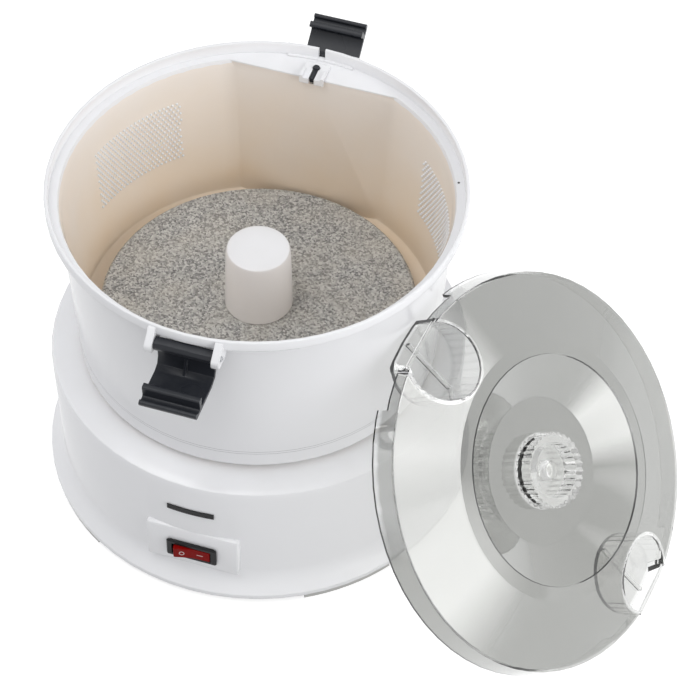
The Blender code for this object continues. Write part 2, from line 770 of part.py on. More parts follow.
def terminals(material, parent):
    back = -PAD_FACE_DISTANCE - GAP + HOUSING_DEPTH + GAP
    for number, side in enumerate((-1, 1), 1):
        middle = side * TERMINAL_SPACING / 2
        blade = box(f"switch_terminal_{number}",
                    (middle - TERMINAL_THICKNESS / 2, back, BEZEL_MIDDLE_Z - TERMINAL_WIDTH / 2),
                    (middle + TERMINAL_THICKNESS / 2, back + TERMINAL_LENGTH,
                     BEZEL_MIDDLE_Z + TERMINAL_WIDTH / 2))
        finish(blade, material, parent)


def cord_gland(material, parent):
    flange_top = GLAND_FLANGE_THICKNESS
    gland = turned("cord_gland", [
        (GLAND_BODY_RADIUS, flange_top, 0),
        (GLAND_FLANGE_RADIUS, 0, 0),
        (GLAND_BODY_RADIUS, 0, 0),
        (GLAND_BODY_RADIUS, flange_top - GLAND_LENGTH, 0),
        (GLAND_BORE_RADIUS, flange_top - GLAND_LENGTH, 0),
        (GLAND_BORE_RADIUS, flange_top, 0),
    ], sides=ROD_SIDES)
    face = base_radius(GLAND_Z + GLAND_FLANGE_RADIUS) + GAP
    gland.matrix_world = Matrix.Translation((0, face, GLAND_Z)) @ Matrix.Rotation(-math.pi / 2, 4, "X")
    return finish(gland, material, parent)


# Gear train and motor

GEAR_PLATE_TOP_Z = GEAR_PLATE_Z + GEAR_PLATE_THICKNESS
LOWER_LEVEL_Z = GEAR_PLATE_TOP_Z + GEAR_LEVEL_SPACING
UPPER_LEVEL_Z = LOWER_LEVEL_Z + IDLER_WHEEL_THICKNESS + GEAR_LEVEL_SPACING
IDLER_DISTANCE = pitch_radius(OUTPUT_TEETH) + pitch_radius(IDLER_PINION_TEETH) + GAP
MOTOR_DISTANCE = pitch_radius(IDLER_WHEEL_TEETH) + pitch_radius(PINION_TEETH) + GAP
IDLER_PLACE = at_angle(IDLER_DISTANCE, IDLER_ANGLE + 90, 0)
MOTOR_PLACE = IDLER_PLACE + at_angle(MOTOR_DISTANCE, IDLER_ANGLE + 90 - MOTOR_TURN, 0)


def toothed(teeth):
    """Outline of a gear whose teeth end just inside the pitch circle."""
    tip = pitch_radius(teeth)
    root = tip - TOOTH_DEPTH
    step = 2 * math.pi / teeth
    outline = []
    for tooth in range(teeth):
        for radius, share in ((root, 0), (tip, TOOTH_RISE_SHARE), (tip, 1 - TOOTH_RISE_SHARE)):
            angle = step * (tooth + share)
            outline.append((radius * math.cos(angle), radius * math.sin(angle)))
    return outline


def gear(name, teeth, bore, place, low, thickness):
    item = plate(name, [toothed(teeth), circle(bore)], low, low + thickness)
    item.location = (place.x, place.y, 0)
    bpy.context.view_layer.update()
    return item


def output_train(steel, plastic, parent):
    origin = Vector((0, 0, 0))
    bore = SHAFT_RADIUS + GAP
    wheel = gear("output_gear", OUTPUT_TEETH, bore, origin, UPPER_LEVEL_Z, OUTPUT_WHEEL_THICKNESS)
    finish(wheel, plastic, parent)
    shaft = rod("output_shaft", SHAFT_RADIUS, (0, 0, GEAR_PLATE_Z - SHAFT_FOOT_LENGTH),
                (0, 0, BASE_TOP_Z + OVERRUN))
    dog = plate("shaft_dog", [circle(DOG_RADIUS, 6)], BASE_TOP_Z + GAP, dog_top())
    join(shaft, dog)
    return finish(shaft, steel, parent)


def dog_top():
    return socket_bottom() + SOCKET_HEX_DEPTH - RUNNING_GAP - GAP


def socket_bottom():
    return BOWL_FLOOR_BOTTOM_Z + GAP


def idler(material, parent):
    cluster = gear("idler_gear", IDLER_WHEEL_TEETH, IDLER_PIN_RADIUS + RUNNING_GAP, IDLER_PLACE,
                   LOWER_LEVEL_Z, IDLER_WHEEL_THICKNESS)
    small = gear("idler_small_gear", IDLER_PINION_TEETH, IDLER_PIN_RADIUS + RUNNING_GAP, IDLER_PLACE,
                 UPPER_LEVEL_Z - GEAR_LEVEL_SPACING - GAP, OUTPUT_WHEEL_THICKNESS + GEAR_LEVEL_SPACING + GAP)
    join(cluster, small)
    return finish(cluster, material, parent)


def idler_pin(material, parent):
    low = Vector((IDLER_PLACE.x, IDLER_PLACE.y, GEAR_PLATE_TOP_Z + GAP))
    high = Vector((low.x, low.y, BASE_TOP_UNDERSIDE_Z - GAP))
    return finish(rod("idler_pin", IDLER_PIN_RADIUS, low, high), material, parent)


def gear_plate(material, parent):
    bores = [circle(SHAFT_RADIUS + BUSH_WALL + 2 * GAP + RUNNING_GAP),
             circle(MOTOR_SHAFT_RADIUS + RUNNING_GAP, centre=MOTOR_PLACE.xy)]
    for place in motor_screw_places():
        bores.append(circle(MOTOR_SCREW_RADIUS + GAP, centre=place.xy))
    outlines = [circle(GEAR_PLATE_RADIUS, DRUM_SIDES)] + bores
    item = plate("gear_plate", outlines, GEAR_PLATE_Z, GEAR_PLATE_TOP_Z)
    return finish(item, material, parent)


def plate_posts(material, parent):
    for number, angle in enumerate(PLATE_POST_ANGLES, 1):
        low = at_angle(PLATE_POST_DISTANCE, angle + 90, GEAR_PLATE_TOP_Z + GAP)
        high = Vector((low.x, low.y, BASE_TOP_UNDERSIDE_Z - GAP))
        finish(rod(f"plate_post_{number}", PLATE_POST_RADIUS, low, high), material, parent)


def ring(name, inner, outer, low, high, material, parent):
    item = turned(name, [(outer, high, 0), (outer, low, 0), (inner, low, 0), (inner, high, 0)],
                  sides=ROUND_SIDES)
    return finish(item, material, parent)


def bearings(bronze, rubber, parent):
    inner = SHAFT_RADIUS + RUNNING_GAP
    ring("shaft_bush", inner, inner + BUSH_WALL, GEAR_PLATE_Z, GEAR_PLATE_TOP_Z, bronze, parent)
    ring("shaft_seal", inner, SHAFT_HOLE_RADIUS - GAP, BASE_TOP_UNDERSIDE_Z, BASE_TOP_Z - GAP, rubber, parent)


def motor_screw_places():
    """Across the line from the idler to the motor, clear of the idler's wheel."""
    across = (MOTOR_PLACE - IDLER_PLACE).normalized().cross(Vector((0, 0, 1)))
    return [MOTOR_PLACE + across * side * MOTOR_SCREW_DISTANCE for side in (-1, 1)]


def motor(steel, plastic, parent):
    top = GEAR_PLATE_Z - GAP
    low = top - MOTOR_HEIGHT
    bore = MOTOR_SHAFT_RADIUS + RUNNING_GAP
    can = turned("motor_can", [
        (bore, top, 0),
        (MOTOR_RADIUS, top, MOTOR_ROUND),
        (MOTOR_RADIUS, low, 0),
        (bore, low, 0),
    ], sides=ROUND_SIDES)
    can.location = MOTOR_PLACE
    bpy.context.view_layer.update()
    for number, place in enumerate(motor_screw_places()):
        start = place + Vector((0, 0, top - MOTOR_SCREW_LENGTH))
        end = place + Vector((0, 0, top + OVERRUN))
        cut(can, rod(f"motor_bore_{number}", MOTOR_SCREW_RADIUS + GAP, start, end))
    finish(can, steel, parent)
    cap = turned("motor_end_cap", [
        (0, low - GAP, 0),
        (MOTOR_CAP_RADIUS, low - GAP, 0),
        (MOTOR_CAP_RADIUS, low - GAP - MOTOR_CAP_HEIGHT, MOTOR_ROUND),
        (0, low - GAP - MOTOR_CAP_HEIGHT, 0),
    ], sides=ROUND_SIDES)
    cap.location = MOTOR_PLACE
    bpy.context.view_layer.update()
    finish(cap, plastic, parent)
    for number, place in enumerate(motor_screw_places(), 1):
        place = place + Vector((0, 0, GEAR_PLATE_TOP_Z + GAP))
        screw(f"motor_screw_{number}", MOTOR_SCREW_RADIUS, MOTOR_SCREW_LENGTH, steel, parent, place, True)


def rotor(steel, brass, parent):
    low = GEAR_PLATE_Z - GAP - MOTOR_HEIGHT + GAP
    high = LOWER_LEVEL_Z + PINION_LENGTH
    up = Vector((0, 0, 1))
    shaft = rod("motor_shaft", MOTOR_SHAFT_RADIUS, MOTOR_PLACE + low * up, MOTOR_PLACE + high * up)
    finish(shaft, steel, parent)
    pinion = gear("motor_pinion", PINION_TEETH, MOTOR_SHAFT_RADIUS + GAP, MOTOR_PLACE, LOWER_LEVEL_Z,
                  IDLER_WHEEL_THICKNESS)
    finish(pinion, brass, parent)


# Interlock


def bracket_front():
    """Its apron hangs clear in front of the flat rear wall, at the top and at its own foot."""
    wall = min(chord_distance(LEDGE_Z), chord_distance(LEDGE_Z - BRACKET_APRON_DROP))
    return wall - BRACKET_CLEARANCE - BRACKET_APRON_THICKNESS


def pin_slope():
    top = bracket_front() + PIN_SETBACK
    return (top - PIN_FOOT_DISTANCE) / (PIN_TOP_Z - PIN_FOOT_Z)


def pin_place(z):
    """A point on the leaning push pin's axis, at the rear of the bowl."""
    return Vector((0, PIN_FOOT_DISTANCE + pin_slope() * (z - PIN_FOOT_Z), z))


def spring_bottom():
    return BOWL_FLOOR_Z + GAP


def push_pin(material, parent):
    pin = rod("push_pin", PIN_RADIUS, pin_place(PIN_FOOT_Z), pin_place(PIN_TOP_Z))
    head = rod("push_pin_head", PIN_HEAD_RADIUS, pin_place(PIN_TOP_Z - PIN_HEAD_HEIGHT / 2),
               pin_place(PIN_TOP_Z + PIN_HEAD_HEIGHT / 2))
    join(pin, head)
    top = pin_place(PIN_TOP_Z)
    half = PIN_ARM_WIDTH / 2
    join(pin, box("push_pin_arm", (-half, top.y - PIN_ARM_REACH, top.z - PIN_ARM_DEPTH),
                  (half, top.y, top.z)))
    start = spring_bottom() + SPRING_LENGTH + GAP
    end = start + PIN_COLLAR_HEIGHT
    join(pin, rod("push_pin_collar", PIN_COLLAR_RADIUS, pin_place(start), pin_place(end)))
    return finish(pin, material, parent)


def return_spring(material, parent):
    """A helix round the pin, from the bowl's floor to the pin's collar; it stays with the bowl."""
    curve = bpy.data.curves.new("return_spring", "CURVE")
    curve.dimensions = "3D"
    curve.bevel_depth = SPRING_WIRE_RADIUS
    curve.bevel_resolution = 1
    curve.use_fill_caps = True
    spline = curve.splines.new("POLY")
    count = SPRING_TURNS * SPRING_POINTS_A_TURN
    spline.points.add(count)
    low = spring_bottom() + SPRING_WIRE_RADIUS
    length = SPRING_LENGTH - 2 * SPRING_WIRE_RADIUS
    for index, point in enumerate(spline.points):
        share = index / count
        angle = 2 * math.pi * SPRING_TURNS * share
        middle = pin_place(low + length * share)
        point.co = (middle.x + SPRING_COIL_RADIUS * math.cos(angle),
                    middle.y + SPRING_COIL_RADIUS * math.sin(angle), middle.z, 1)
    item = add_object("return_spring", curve)
    curve.materials.append(material)
    item.parent = parent
    item.matrix_parent_inverse = parent.matrix_world.inverted()
    return item


def bracket(material, parent):
    """Sits on the ledge and hangs over the flat rear wall, with a slot for the pin."""
    half = BRACKET_WIDTH / 2
    low = LEDGE_Z + GAP
    top = low + BRACKET_THICKNESS
    inner = bracket_front()
    item = box("interlock_bracket", (-half, inner, low), (half, inner + BRACKET_LENGTH, top))
    join(item, box("bracket_apron", (-half, inner, low - BRACKET_APRON_DROP),
                   (half, inner + BRACKET_APRON_THICKNESS, low + BRACKET_THICKNESS / 2)))
    for side in (-1, 1):
        edges = sorted((side * half, side * (half - BRACKET_LUG_WIDTH)))
        join(item, box("bracket_lug", (edges[0], inner, low + BRACKET_THICKNESS / 2),
                       (edges[1], inner + BRACKET_LUG_LENGTH, top + BRACKET_LUG_HEIGHT)))
    slot = PIN_ARM_WIDTH / 2 + RUNNING_GAP
    cut(item, box("bracket_slot", (-slot, inner - OVERRUN, low - BRACKET_APRON_DROP - OVERRUN),
                  (slot, pin_place(top).y, top + OVERRUN)))
    start = pin_place(low - OVERRUN)
    end = pin_place(top + OVERRUN)
    cut(item, rod("bracket_bore", PIN_HEAD_RADIUS + RUNNING_GAP, start, end))
    return finish(item, material, parent)


def microswitch(body, steel, parent):
    button_top = PIN_FOOT_Z - PIN_TRAVEL - GAP
    top = button_top - SWITCH_BUTTON_HEIGHT
    back = math.sqrt((SPIGOT_RADIUS - BASE_WALL) ** 2 - (SWITCH_WIDTH / 2) ** 2) - GAP - RUNNING_GAP
    item = box("microswitch", (-SWITCH_WIDTH / 2, back - SWITCH_DEPTH, top - SWITCH_HEIGHT),
               (SWITCH_WIDTH / 2, back, top))
    finish(item, body, parent)
    low = Vector((0, back - SWITCH_DEPTH / 2, top + GAP))
    high = Vector((0, low.y, button_top))
    finish(rod("microswitch_button", SWITCH_BUTTON_RADIUS, low, high), steel, parent)


# Bowl


def chord_wall():
    """The flat rear wall, leaning like the bowl's own wall."""
    low = BOWL_FLOOR_Z - BOWL_FLOOR_THICKNESS / 2
    high = LEDGE_Z - DECK_THICKNESS / 2
    middle = (low + high) / 2
    lean = math.atan((chord_distance(high) - chord_distance(low)) / (high - low))
    half = bowl_inner_radius(high) * math.sin(CHORD_HALF_ANGLE) + CHORD_SINK + BOWL_WALL
    wall = box("chord_wall", (-half, 0, low - middle), (half, BOWL_WALL, high - middle))
    wall.matrix_world = (Matrix.Translation((0, chord_distance(middle), middle))
                         @ Matrix.Rotation(-lean, 4, "X"))
    return wall


def bowl_core():
    """The space out to the middle of the bowl's wall, which trims what joins that wall."""
    low = BOWL_FLOOR_Z - BOWL_FLOOR_THICKNESS
    high = LEDGE_Z
    return turned("bowl_core", [
        (bowl_radius(high) - BOWL_WALL / 2, high, 0),
        (bowl_radius(low) - BOWL_WALL / 2, low, 0),
        (0, low, 0),
        (0, high, 0),
    ])


def deck():
    """Closes the interlock's shaft at the height of the ledge."""
    outer = (LEDGE_INNER_RADIUS + RIM_RADIUS - LIP_WALL) / 2
    distance = chord_distance(LEDGE_Z - DECK_THICKNESS)
    half = math.acos(distance / outer)
    angles = [math.pi / 2 - half + 2 * half * i / CHORD_ARC_STEPS for i in range(CHORD_ARC_STEPS + 1)]
    outline = [(outer * math.cos(a), outer * math.sin(a)) for a in angles]
    return plate("deck", [outline], LEDGE_Z - DECK_THICKNESS, LEDGE_Z)


def ledge_strip():
    """A low step on the ledge along the lip's inside, at the rear."""
    outer = RIM_RADIUS - LIP_WALL * 3 / 4
    inner = RIM_RADIUS - LIP_WALL - LEDGE_STRIP_WIDTH
    span = math.degrees(LEDGE_STRIP_LENGTH / outer)
    outline = sector(inner, outer, 180, span, CHORD_ARC_STEPS)
    return plate("ledge_strip", [outline], LEDGE_Z - LEDGE_STRIP_HEIGHT / 4, LEDGE_Z + LEDGE_STRIP_HEIGHT)


def ear_outline():
    """Side view of an ear: x out from the drum's axis, y up, about the hinge's axis."""
    root = BOWL_UPPER_RADIUS - EAR_ROOT_SINK - HINGE_DISTANCE
    rim_root = RIM_RADIUS - EAR_RIM_SINK - HINGE_DISTANCE
    rim_front = RIM_RADIUS - EAR_RIM_SINK / 4 - HINGE_DISTANCE
    step = LEDGE_Z - GAP - HINGE_Z
    return rounded([
        (rim_root, EAR_TOP_RISE, 0),
        (rim_front, EAR_TOP_RISE, 0),
        (EAR_RADIUS, EAR_SLOPE_FOOT, EAR_RADIUS / 2),
        (EAR_RADIUS, -EAR_RADIUS, EAR_RADIUS),
        (-EAR_RADIUS, -EAR_RADIUS, EAR_RADIUS / 2),
        (root, -EAR_RADIUS / 2, 0),
        (root, step, 0),
        (rim_root, step, 0),
    ])


def ears(bowl):
    for side_name, matrix in (("front", hinge_frame(0, 0)), ("rear", hinge_frame(180, 0))):
        for side in (-1, 1):
            edges = sorted((side * EAR_INNER, side * (EAR_INNER + EAR_THICKNESS)))
            ear = plate(f"{side_name}_ear", [ear_outline()], *edges)
            ear.matrix_world = matrix
            join(bowl, ear)
    return bowl


def hinge_frame(turn, swing):
    """A clip's own frame: x out from the drum, y up, z along the hinge, then swung open."""
    outwards = Matrix(((0, 0, -1), (-1, 0, 0), (0, 1, 0))).to_4x4()
    place = Matrix.Rotation(math.radians(turn), 4, "Z") @ Matrix.Translation((0, -HINGE_DISTANCE, HINGE_Z))
    return place @ outwards @ Matrix.Rotation(math.radians(swing), 4, "Z")


def bowl(material, parent):
    item = turned("bowl", [
        (RIM_RADIUS, RIM_TOP_Z, LIP_ROUND),
        (RIM_RADIUS, RIM_LOWER_Z, 0),
        (RIM_CONE_RADIUS, RIM_CONE_Z, 0),
        (BOWL_UPPER_RADIUS, BOWL_UPPER_Z, 0),
        (BOWL_LOWER_RADIUS, BOWL_LOWER_Z, 0),
        (BOWL_LOWER_RADIUS - BOWL_WALL, BOWL_LOWER_Z, 0),
        (BOWL_LOWER_RADIUS - BOWL_WALL, BOWL_FLOOR_BOTTOM_Z, 0),
        (HUB_BORE_RADIUS, BOWL_FLOOR_BOTTOM_Z, 0),
        (HUB_BORE_RADIUS, HUB_TOP_Z, 0),
        (HUB_BORE_RADIUS + HUB_WALL, HUB_TOP_Z, 0),
        (HUB_BORE_RADIUS + HUB_WALL, BOWL_FLOOR_Z, 0),
        (bowl_inner_radius(BOWL_FLOOR_Z), BOWL_FLOOR_Z, BOWL_FLOOR_ROUND),
        (bowl_inner_radius(BOWL_UPPER_Z), BOWL_UPPER_Z, 0),
        (LEDGE_INNER_RADIUS, LEDGE_Z, 0),
        (RIM_RADIUS - LIP_WALL, LEDGE_Z, 0),
        (RIM_RADIUS - LIP_WALL, RIM_TOP_Z, LIP_ROUND),
    ], steps=2)
    wall = chord_wall()
    keep_inside(wall, bowl_core())
    join(item, wall)
    join(item, deck())
    join(item, ledge_strip())
    ears(item)
    for turn in (0, 180):
        matrix = hinge_frame(turn, 0)
        half = EAR_INNER + EAR_THICKNESS + OVERRUN
        start = matrix @ Vector((0, 0, -half))
        end = matrix @ Vector((0, 0, half))
        cut(item, rod("ear_bore", HINGE_PIN_RADIUS + GAP, start, end))
    half = NOTCH_WIDTH / 2
    lip_inside = RIM_RADIUS - LIP_WALL
    cut(item, box("rim_notch", (-half, lip_inside - LEDGE_STRIP_WIDTH - OVERRUN / 2, RIM_TOP_Z - NOTCH_DEPTH),
                  (half, RIM_RADIUS + OVERRUN, RIM_TOP_Z + OVERRUN)))
    half = PIN_ARM_WIDTH / 2 + RUNNING_GAP
    low = PIN_TOP_Z - PIN_ARM_DEPTH - PIN_TRAVEL - RUNNING_GAP
    cut(item, box("arm_slot", (-half, bracket_front() - OVERRUN, low),
                  (half, pin_place(PIN_TOP_Z).y, LEDGE_Z + OVERRUN)))
    cut(item, rod("deck_bore", PIN_HEAD_RADIUS + RUNNING_GAP, pin_place(LEDGE_Z - DECK_THICKNESS - OVERRUN),
                  pin_place(LEDGE_Z + OVERRUN)))
    cut(item, rod("floor_bore", PIN_RADIUS + RUNNING_GAP, pin_place(BOWL_FLOOR_BOTTOM_Z - OVERRUN),
                  pin_place(BOWL_FLOOR_Z + OVERRUN / 2)))
    return finish(item, material, parent)


# Clips


def clip_outline():
    """Side view of a hanging clip about its hinge: x out from the drum, y up."""
    barrel = CLIP_BARREL_RADIUS
    inner = -CLIP_SETBACK - CLIP_WALL
    outer = -CLIP_SETBACK
    low = -CLIP_DROP
    floor = low + CLIP_WALL
    bead = CLIP_BEAD_OUT
    neck = CLIP_BEAD_NECK / 2
    swell = CLIP_BEAD_THICKNESS / 2
    crown = low + CLIP_BEAD_HEIGHT
    lip = CLIP_REACH - CLIP_LIP_THICKNESS
    return rounded([
        (-barrel, barrel, barrel),
        (barrel, barrel, barrel),
        (barrel, -barrel, barrel),
        (outer, -2 * barrel, CLIP_WALL),
        (outer, floor, CLIP_INNER_ROUND),
        (bead - neck, floor, CLIP_WALL / 2),
        (bead - neck, crown - 2 * swell, 0),
        (bead - swell, crown - swell, CLIP_WALL / 2),
        (bead - swell, crown, swell / 2),
        (bead + swell, crown, swell / 2),
        (bead + swell, crown - swell, CLIP_WALL / 2),
        (bead + neck, floor, CLIP_WALL / 2),
        (lip, floor, CLIP_WALL),
        (lip, low + CLIP_LIP_HEIGHT, CLIP_LIP_THICKNESS / 2),
        (CLIP_REACH, low + CLIP_LIP_HEIGHT, CLIP_LIP_THICKNESS / 2),
        (CLIP_REACH, low, CLIP_WALL),
        (inner, low, CLIP_OUTER_ROUND),
        (inner, -barrel, CLIP_WALL),
    ], steps=2)


def clip(name, material, parent):
    item = plate(name, [clip_outline(), circle(HINGE_PIN_RADIUS + GAP)], -CLIP_WIDTH / 2, CLIP_WIDTH / 2)
    floor = -CLIP_DROP + CLIP_WALL / 2
    inner = -CLIP_SETBACK - CLIP_WALL / 2
    gusset = [(inner, floor), (-CLIP_SETBACK + CLIP_RIB_SIZE, floor), (inner, floor + 2 * CLIP_RIB_SIZE)]
    join(item, plate(name + "_gusset", [gusset], -CLIP_RIB_WIDTH / 2, CLIP_RIB_WIDTH / 2))
    finish(item, material)
    set_in_frame(item, parent)
    return item


def hinge_pin(name, turn, material, parent):
    matrix = hinge_frame(turn, 0)
    half = EAR_INNER + EAR_THICKNESS + HINGE_PIN_PROUD
    item = rod(name, HINGE_PIN_RADIUS, matrix @ Vector((0, 0, -half)), matrix @ Vector((0, 0, half)))
    return finish(item, material, parent)


# Peeling disc


def disc_bottom():
    return socket_top() + GAP


def socket_top():
    return HUB_TOP_Z + GAP + SOCKET_FLANGE_THICKNESS


def peeling_disc(material, parent):
    low = disc_bottom()
    high = low + DISC_THICKNESS
    edge = chord_distance(low) - DISC_EDGE_GAP
    disc = turned("peeling_disc", [
        (0, high, 0),
        (edge - DISC_EDGE_TURN, high, 0),
        (edge, high - DISC_EDGE_TURN, 0),
        (edge, low - DISC_EDGE_TURN, 0),
        (edge - DISC_EDGE_TURN, low - DISC_EDGE_TURN, 0),
        (edge - DISC_EDGE_TURN, low, 0),
        (0, low, 0),
    ])
    return finish(disc, material, parent)


def centre_post(material, parent):
    foot = disc_bottom() + DISC_THICKNESS + GAP
    post = turned("centre_post", [
        (0, POST_TOP_Z, 0),
        (POST_RADIUS, POST_TOP_Z, POST_ROUND),
        (POST_FOOT_RADIUS, foot, 0),
    ], wall=POST_WALL, sides=ROUND_SIDES)
    trim = box("post_trim", (-POST_FOOT_RADIUS - OVERRUN, -POST_FOOT_RADIUS - OVERRUN, foot - OVERRUN),
               (POST_FOOT_RADIUS + OVERRUN, POST_FOOT_RADIUS + OVERRUN, foot))
    cut(post, trim)
    return finish(post, material, parent)


def coupling_socket(material, parent):
    top = socket_top()
    bottom = socket_bottom()
    flange_low = HUB_TOP_Z + GAP
    socket = turned("coupling_socket", [
        (0, top, 0),
        (SOCKET_FLANGE_RADIUS, top, 0),
        (SOCKET_FLANGE_RADIUS, flange_low, 0),
        (SOCKET_RADIUS, flange_low, 0),
        (SOCKET_RADIUS, bottom, 0),
        (0, bottom, 0),
    ], sides=ROUND_SIDES)
    hexagon = circle(DOG_RADIUS + RUNNING_GAP / math.cos(math.pi / 6), 6)
    cut(socket, plate("socket_bore", [hexagon], bottom - OVERRUN, bottom + SOCKET_HEX_DEPTH))
    return finish(socket, material, parent)


def bowl_bush(material, parent):
    outer = HUB_BORE_RADIUS - GAP
    inner = SOCKET_RADIUS + RUNNING_GAP
    return ring("bowl_bush", inner, outer, BOWL_FLOOR_BOTTOM_Z, HUB_TOP_Z, material, parent)


# Lid


def lid_profile(offset, low, skirt):
    """Corners of the lid's face, moved inwards by the offset."""
    return [
        (0, -offset, 0),
        (LID_DISH_RADIUS, -offset, 0),
        (LID_RIDGE_RADIUS, LID_RIDGE_HEIGHT - offset, 0),
        (LID_SHOULDER_RADIUS, LID_SHOULDER_HEIGHT - offset, 0),
        (LID_EDGE_RADIUS - offset, -offset, 0),
        (skirt - offset, low, 0),
        (0, low, 0),
    ]


def lid_skirt_radius(depth):
    """Outer radius of the skirt at a depth below the front edge."""
    return LID_EDGE_RADIUS + (LID_SKIRT_RADIUS - LID_EDGE_RADIUS) * depth / LID_SKIRT_DEPTH


def pocket_rod(name, radius, side, low, high):
    centre = side * LID_POCKET_DISTANCE
    return rod(name, radius, (centre, 0, low), (centre, 0, high), LID_POCKET_SIDES)


def lid(material, parent):
    top = LID_RIDGE_HEIGHT + OVERRUN
    item = turned("lid", lid_profile(0, -LID_SKIRT_DEPTH, LID_SKIRT_RADIUS))
    below = LID_SKIRT_DEPTH + OVERRUN
    hollow = turned("lid_hollow", lid_profile(LID_WALL, -below, lid_skirt_radius(below)))
    pocket_floor = -LID_POCKET_DEPTH
    for side in (-1, 1):
        cut(hollow, pocket_rod("pocket_wall", LID_POCKET_RADIUS + LID_WALL, side,
                               pocket_floor - LID_WALL, top))
    cut(item, hollow)
    for side in (-1, 1):
        middle = 90 * side
        outline = sector(LID_EDGE_RADIUS - LID_WALL - OVERRUN, LID_SKIRT_RADIUS + OVERRUN, middle,
                         2 * LID_RAISE_HALF_ANGLE, CHORD_ARC_STEPS)
        raise_cut = plate("skirt_raise", [outline], -LID_SKIRT_DEPTH - OVERRUN, -LID_RAISE_DEPTH)
        cut(raise_cut, pocket_rod("pocket_keep", LID_POCKET_RADIUS + LID_WALL + GAP, side,
                                  -LID_SKIRT_DEPTH - 2 * OVERRUN, OVERRUN))
        cut(item, raise_cut)
        cut(item, pocket_rod("pocket_bore", LID_POCKET_RADIUS, side, pocket_floor, top))
        edges = sorted((side * (LID_POCKET_DISTANCE - LID_POCKET_RADIUS - LID_WALL / 2),
                        side * lid_skirt_radius(LID_POCKET_DEPTH) - side * LID_WALL))
        join(item, box("pocket_rib", (edges[0], -LID_RIB_WIDTH / 2, pocket_floor - LID_WALL / 2),
                       (edges[1], LID_RIB_WIDTH / 2, pocket_floor + LID_RIB_HEIGHT)))
        bar_x = side * LID_BAR_DISTANCE
        join(item, rod("pocket_bar", LID_BAR_RADIUS, (bar_x, -LID_BAR_HALF_LENGTH, -LID_BAR_DEPTH),
                       (bar_x, LID_BAR_HALF_LENGTH, -LID_BAR_DEPTH), ROD_SIDES // 2))
    finish(item, material)
    set_in_frame(item, parent)
    return item


def lid_knob(material, parent):
    """A fluted ring with a floor, on the lid's flat middle."""
    count = 2 * KNOB_FLUTES
    outline = []
    for index in range(count):
        angle = 2 * math.pi * index / count
        radius = KNOB_RADIUS - KNOB_FLUTE_DEPTH * (1 - math.cos(KNOB_FLUTES * angle)) / 2
        outline.append((radius * math.cos(angle), radius * math.sin(angle)))
    knob = plate("lid_knob", [outline], GAP, KNOB_HEIGHT)
    well = KNOB_RADIUS - KNOB_WALL
    cut(knob, rod("knob_well", well, (0, 0, GAP + KNOB_FLOOR), (0, 0, KNOB_HEIGHT + OVERRUN), ROUND_SIDES))
    finish(knob, material)
    set_in_frame(knob, parent)
    return knob


def knob_dome(material, parent):
    low = GAP + KNOB_FLOOR + GAP
    radius = KNOB_DOME_RADIUS
    dome = turned("lid_knob_dome", [
        (0, low + KNOB_DOME_HEIGHT, 0),
        (radius, low + KNOB_DOME_HEIGHT, radius * KNOB_DOME_ROUND_SHARE),
        (radius, low, 0),
        (0, low, 0),
    ], sides=ROD_SIDES, steps=2 * ARC_STEPS)
    finish(dome, material)
    set_in_frame(dome, parent)
    return dome


def lid_frame():
    """The lid stands on the floor with its skirt's edge, and leans on the bowl's wall."""
    tilt = math.radians(LID_TILT)
    centre_z = (-FOOT_DEPTH + LID_SKIRT_DEPTH * math.cos(tilt)
                + LID_SKIRT_RADIUS * math.sin(tilt))
    touch_z = centre_z - LID_SKIRT_DEPTH * math.cos(tilt) + LID_SKIRT_RADIUS * math.sin(tilt)
    distance = (bowl_radius(touch_z) + GAP + LID_SKIRT_DEPTH * math.sin(tilt)
                + LID_SKIRT_RADIUS * math.cos(tilt))
    place = math.radians(LID_PLACE_ANGLE)
    centre = Vector((distance * math.cos(place), distance * math.sin(place), centre_z))
    return (Matrix.Translation(centre)
            @ Matrix.Rotation(math.radians(LID_FACING), 4, "Z")
            @ Matrix.Rotation(tilt, 4, "Y")
            @ Matrix.Rotation(math.radians(LID_SPIN), 4, "Z"))


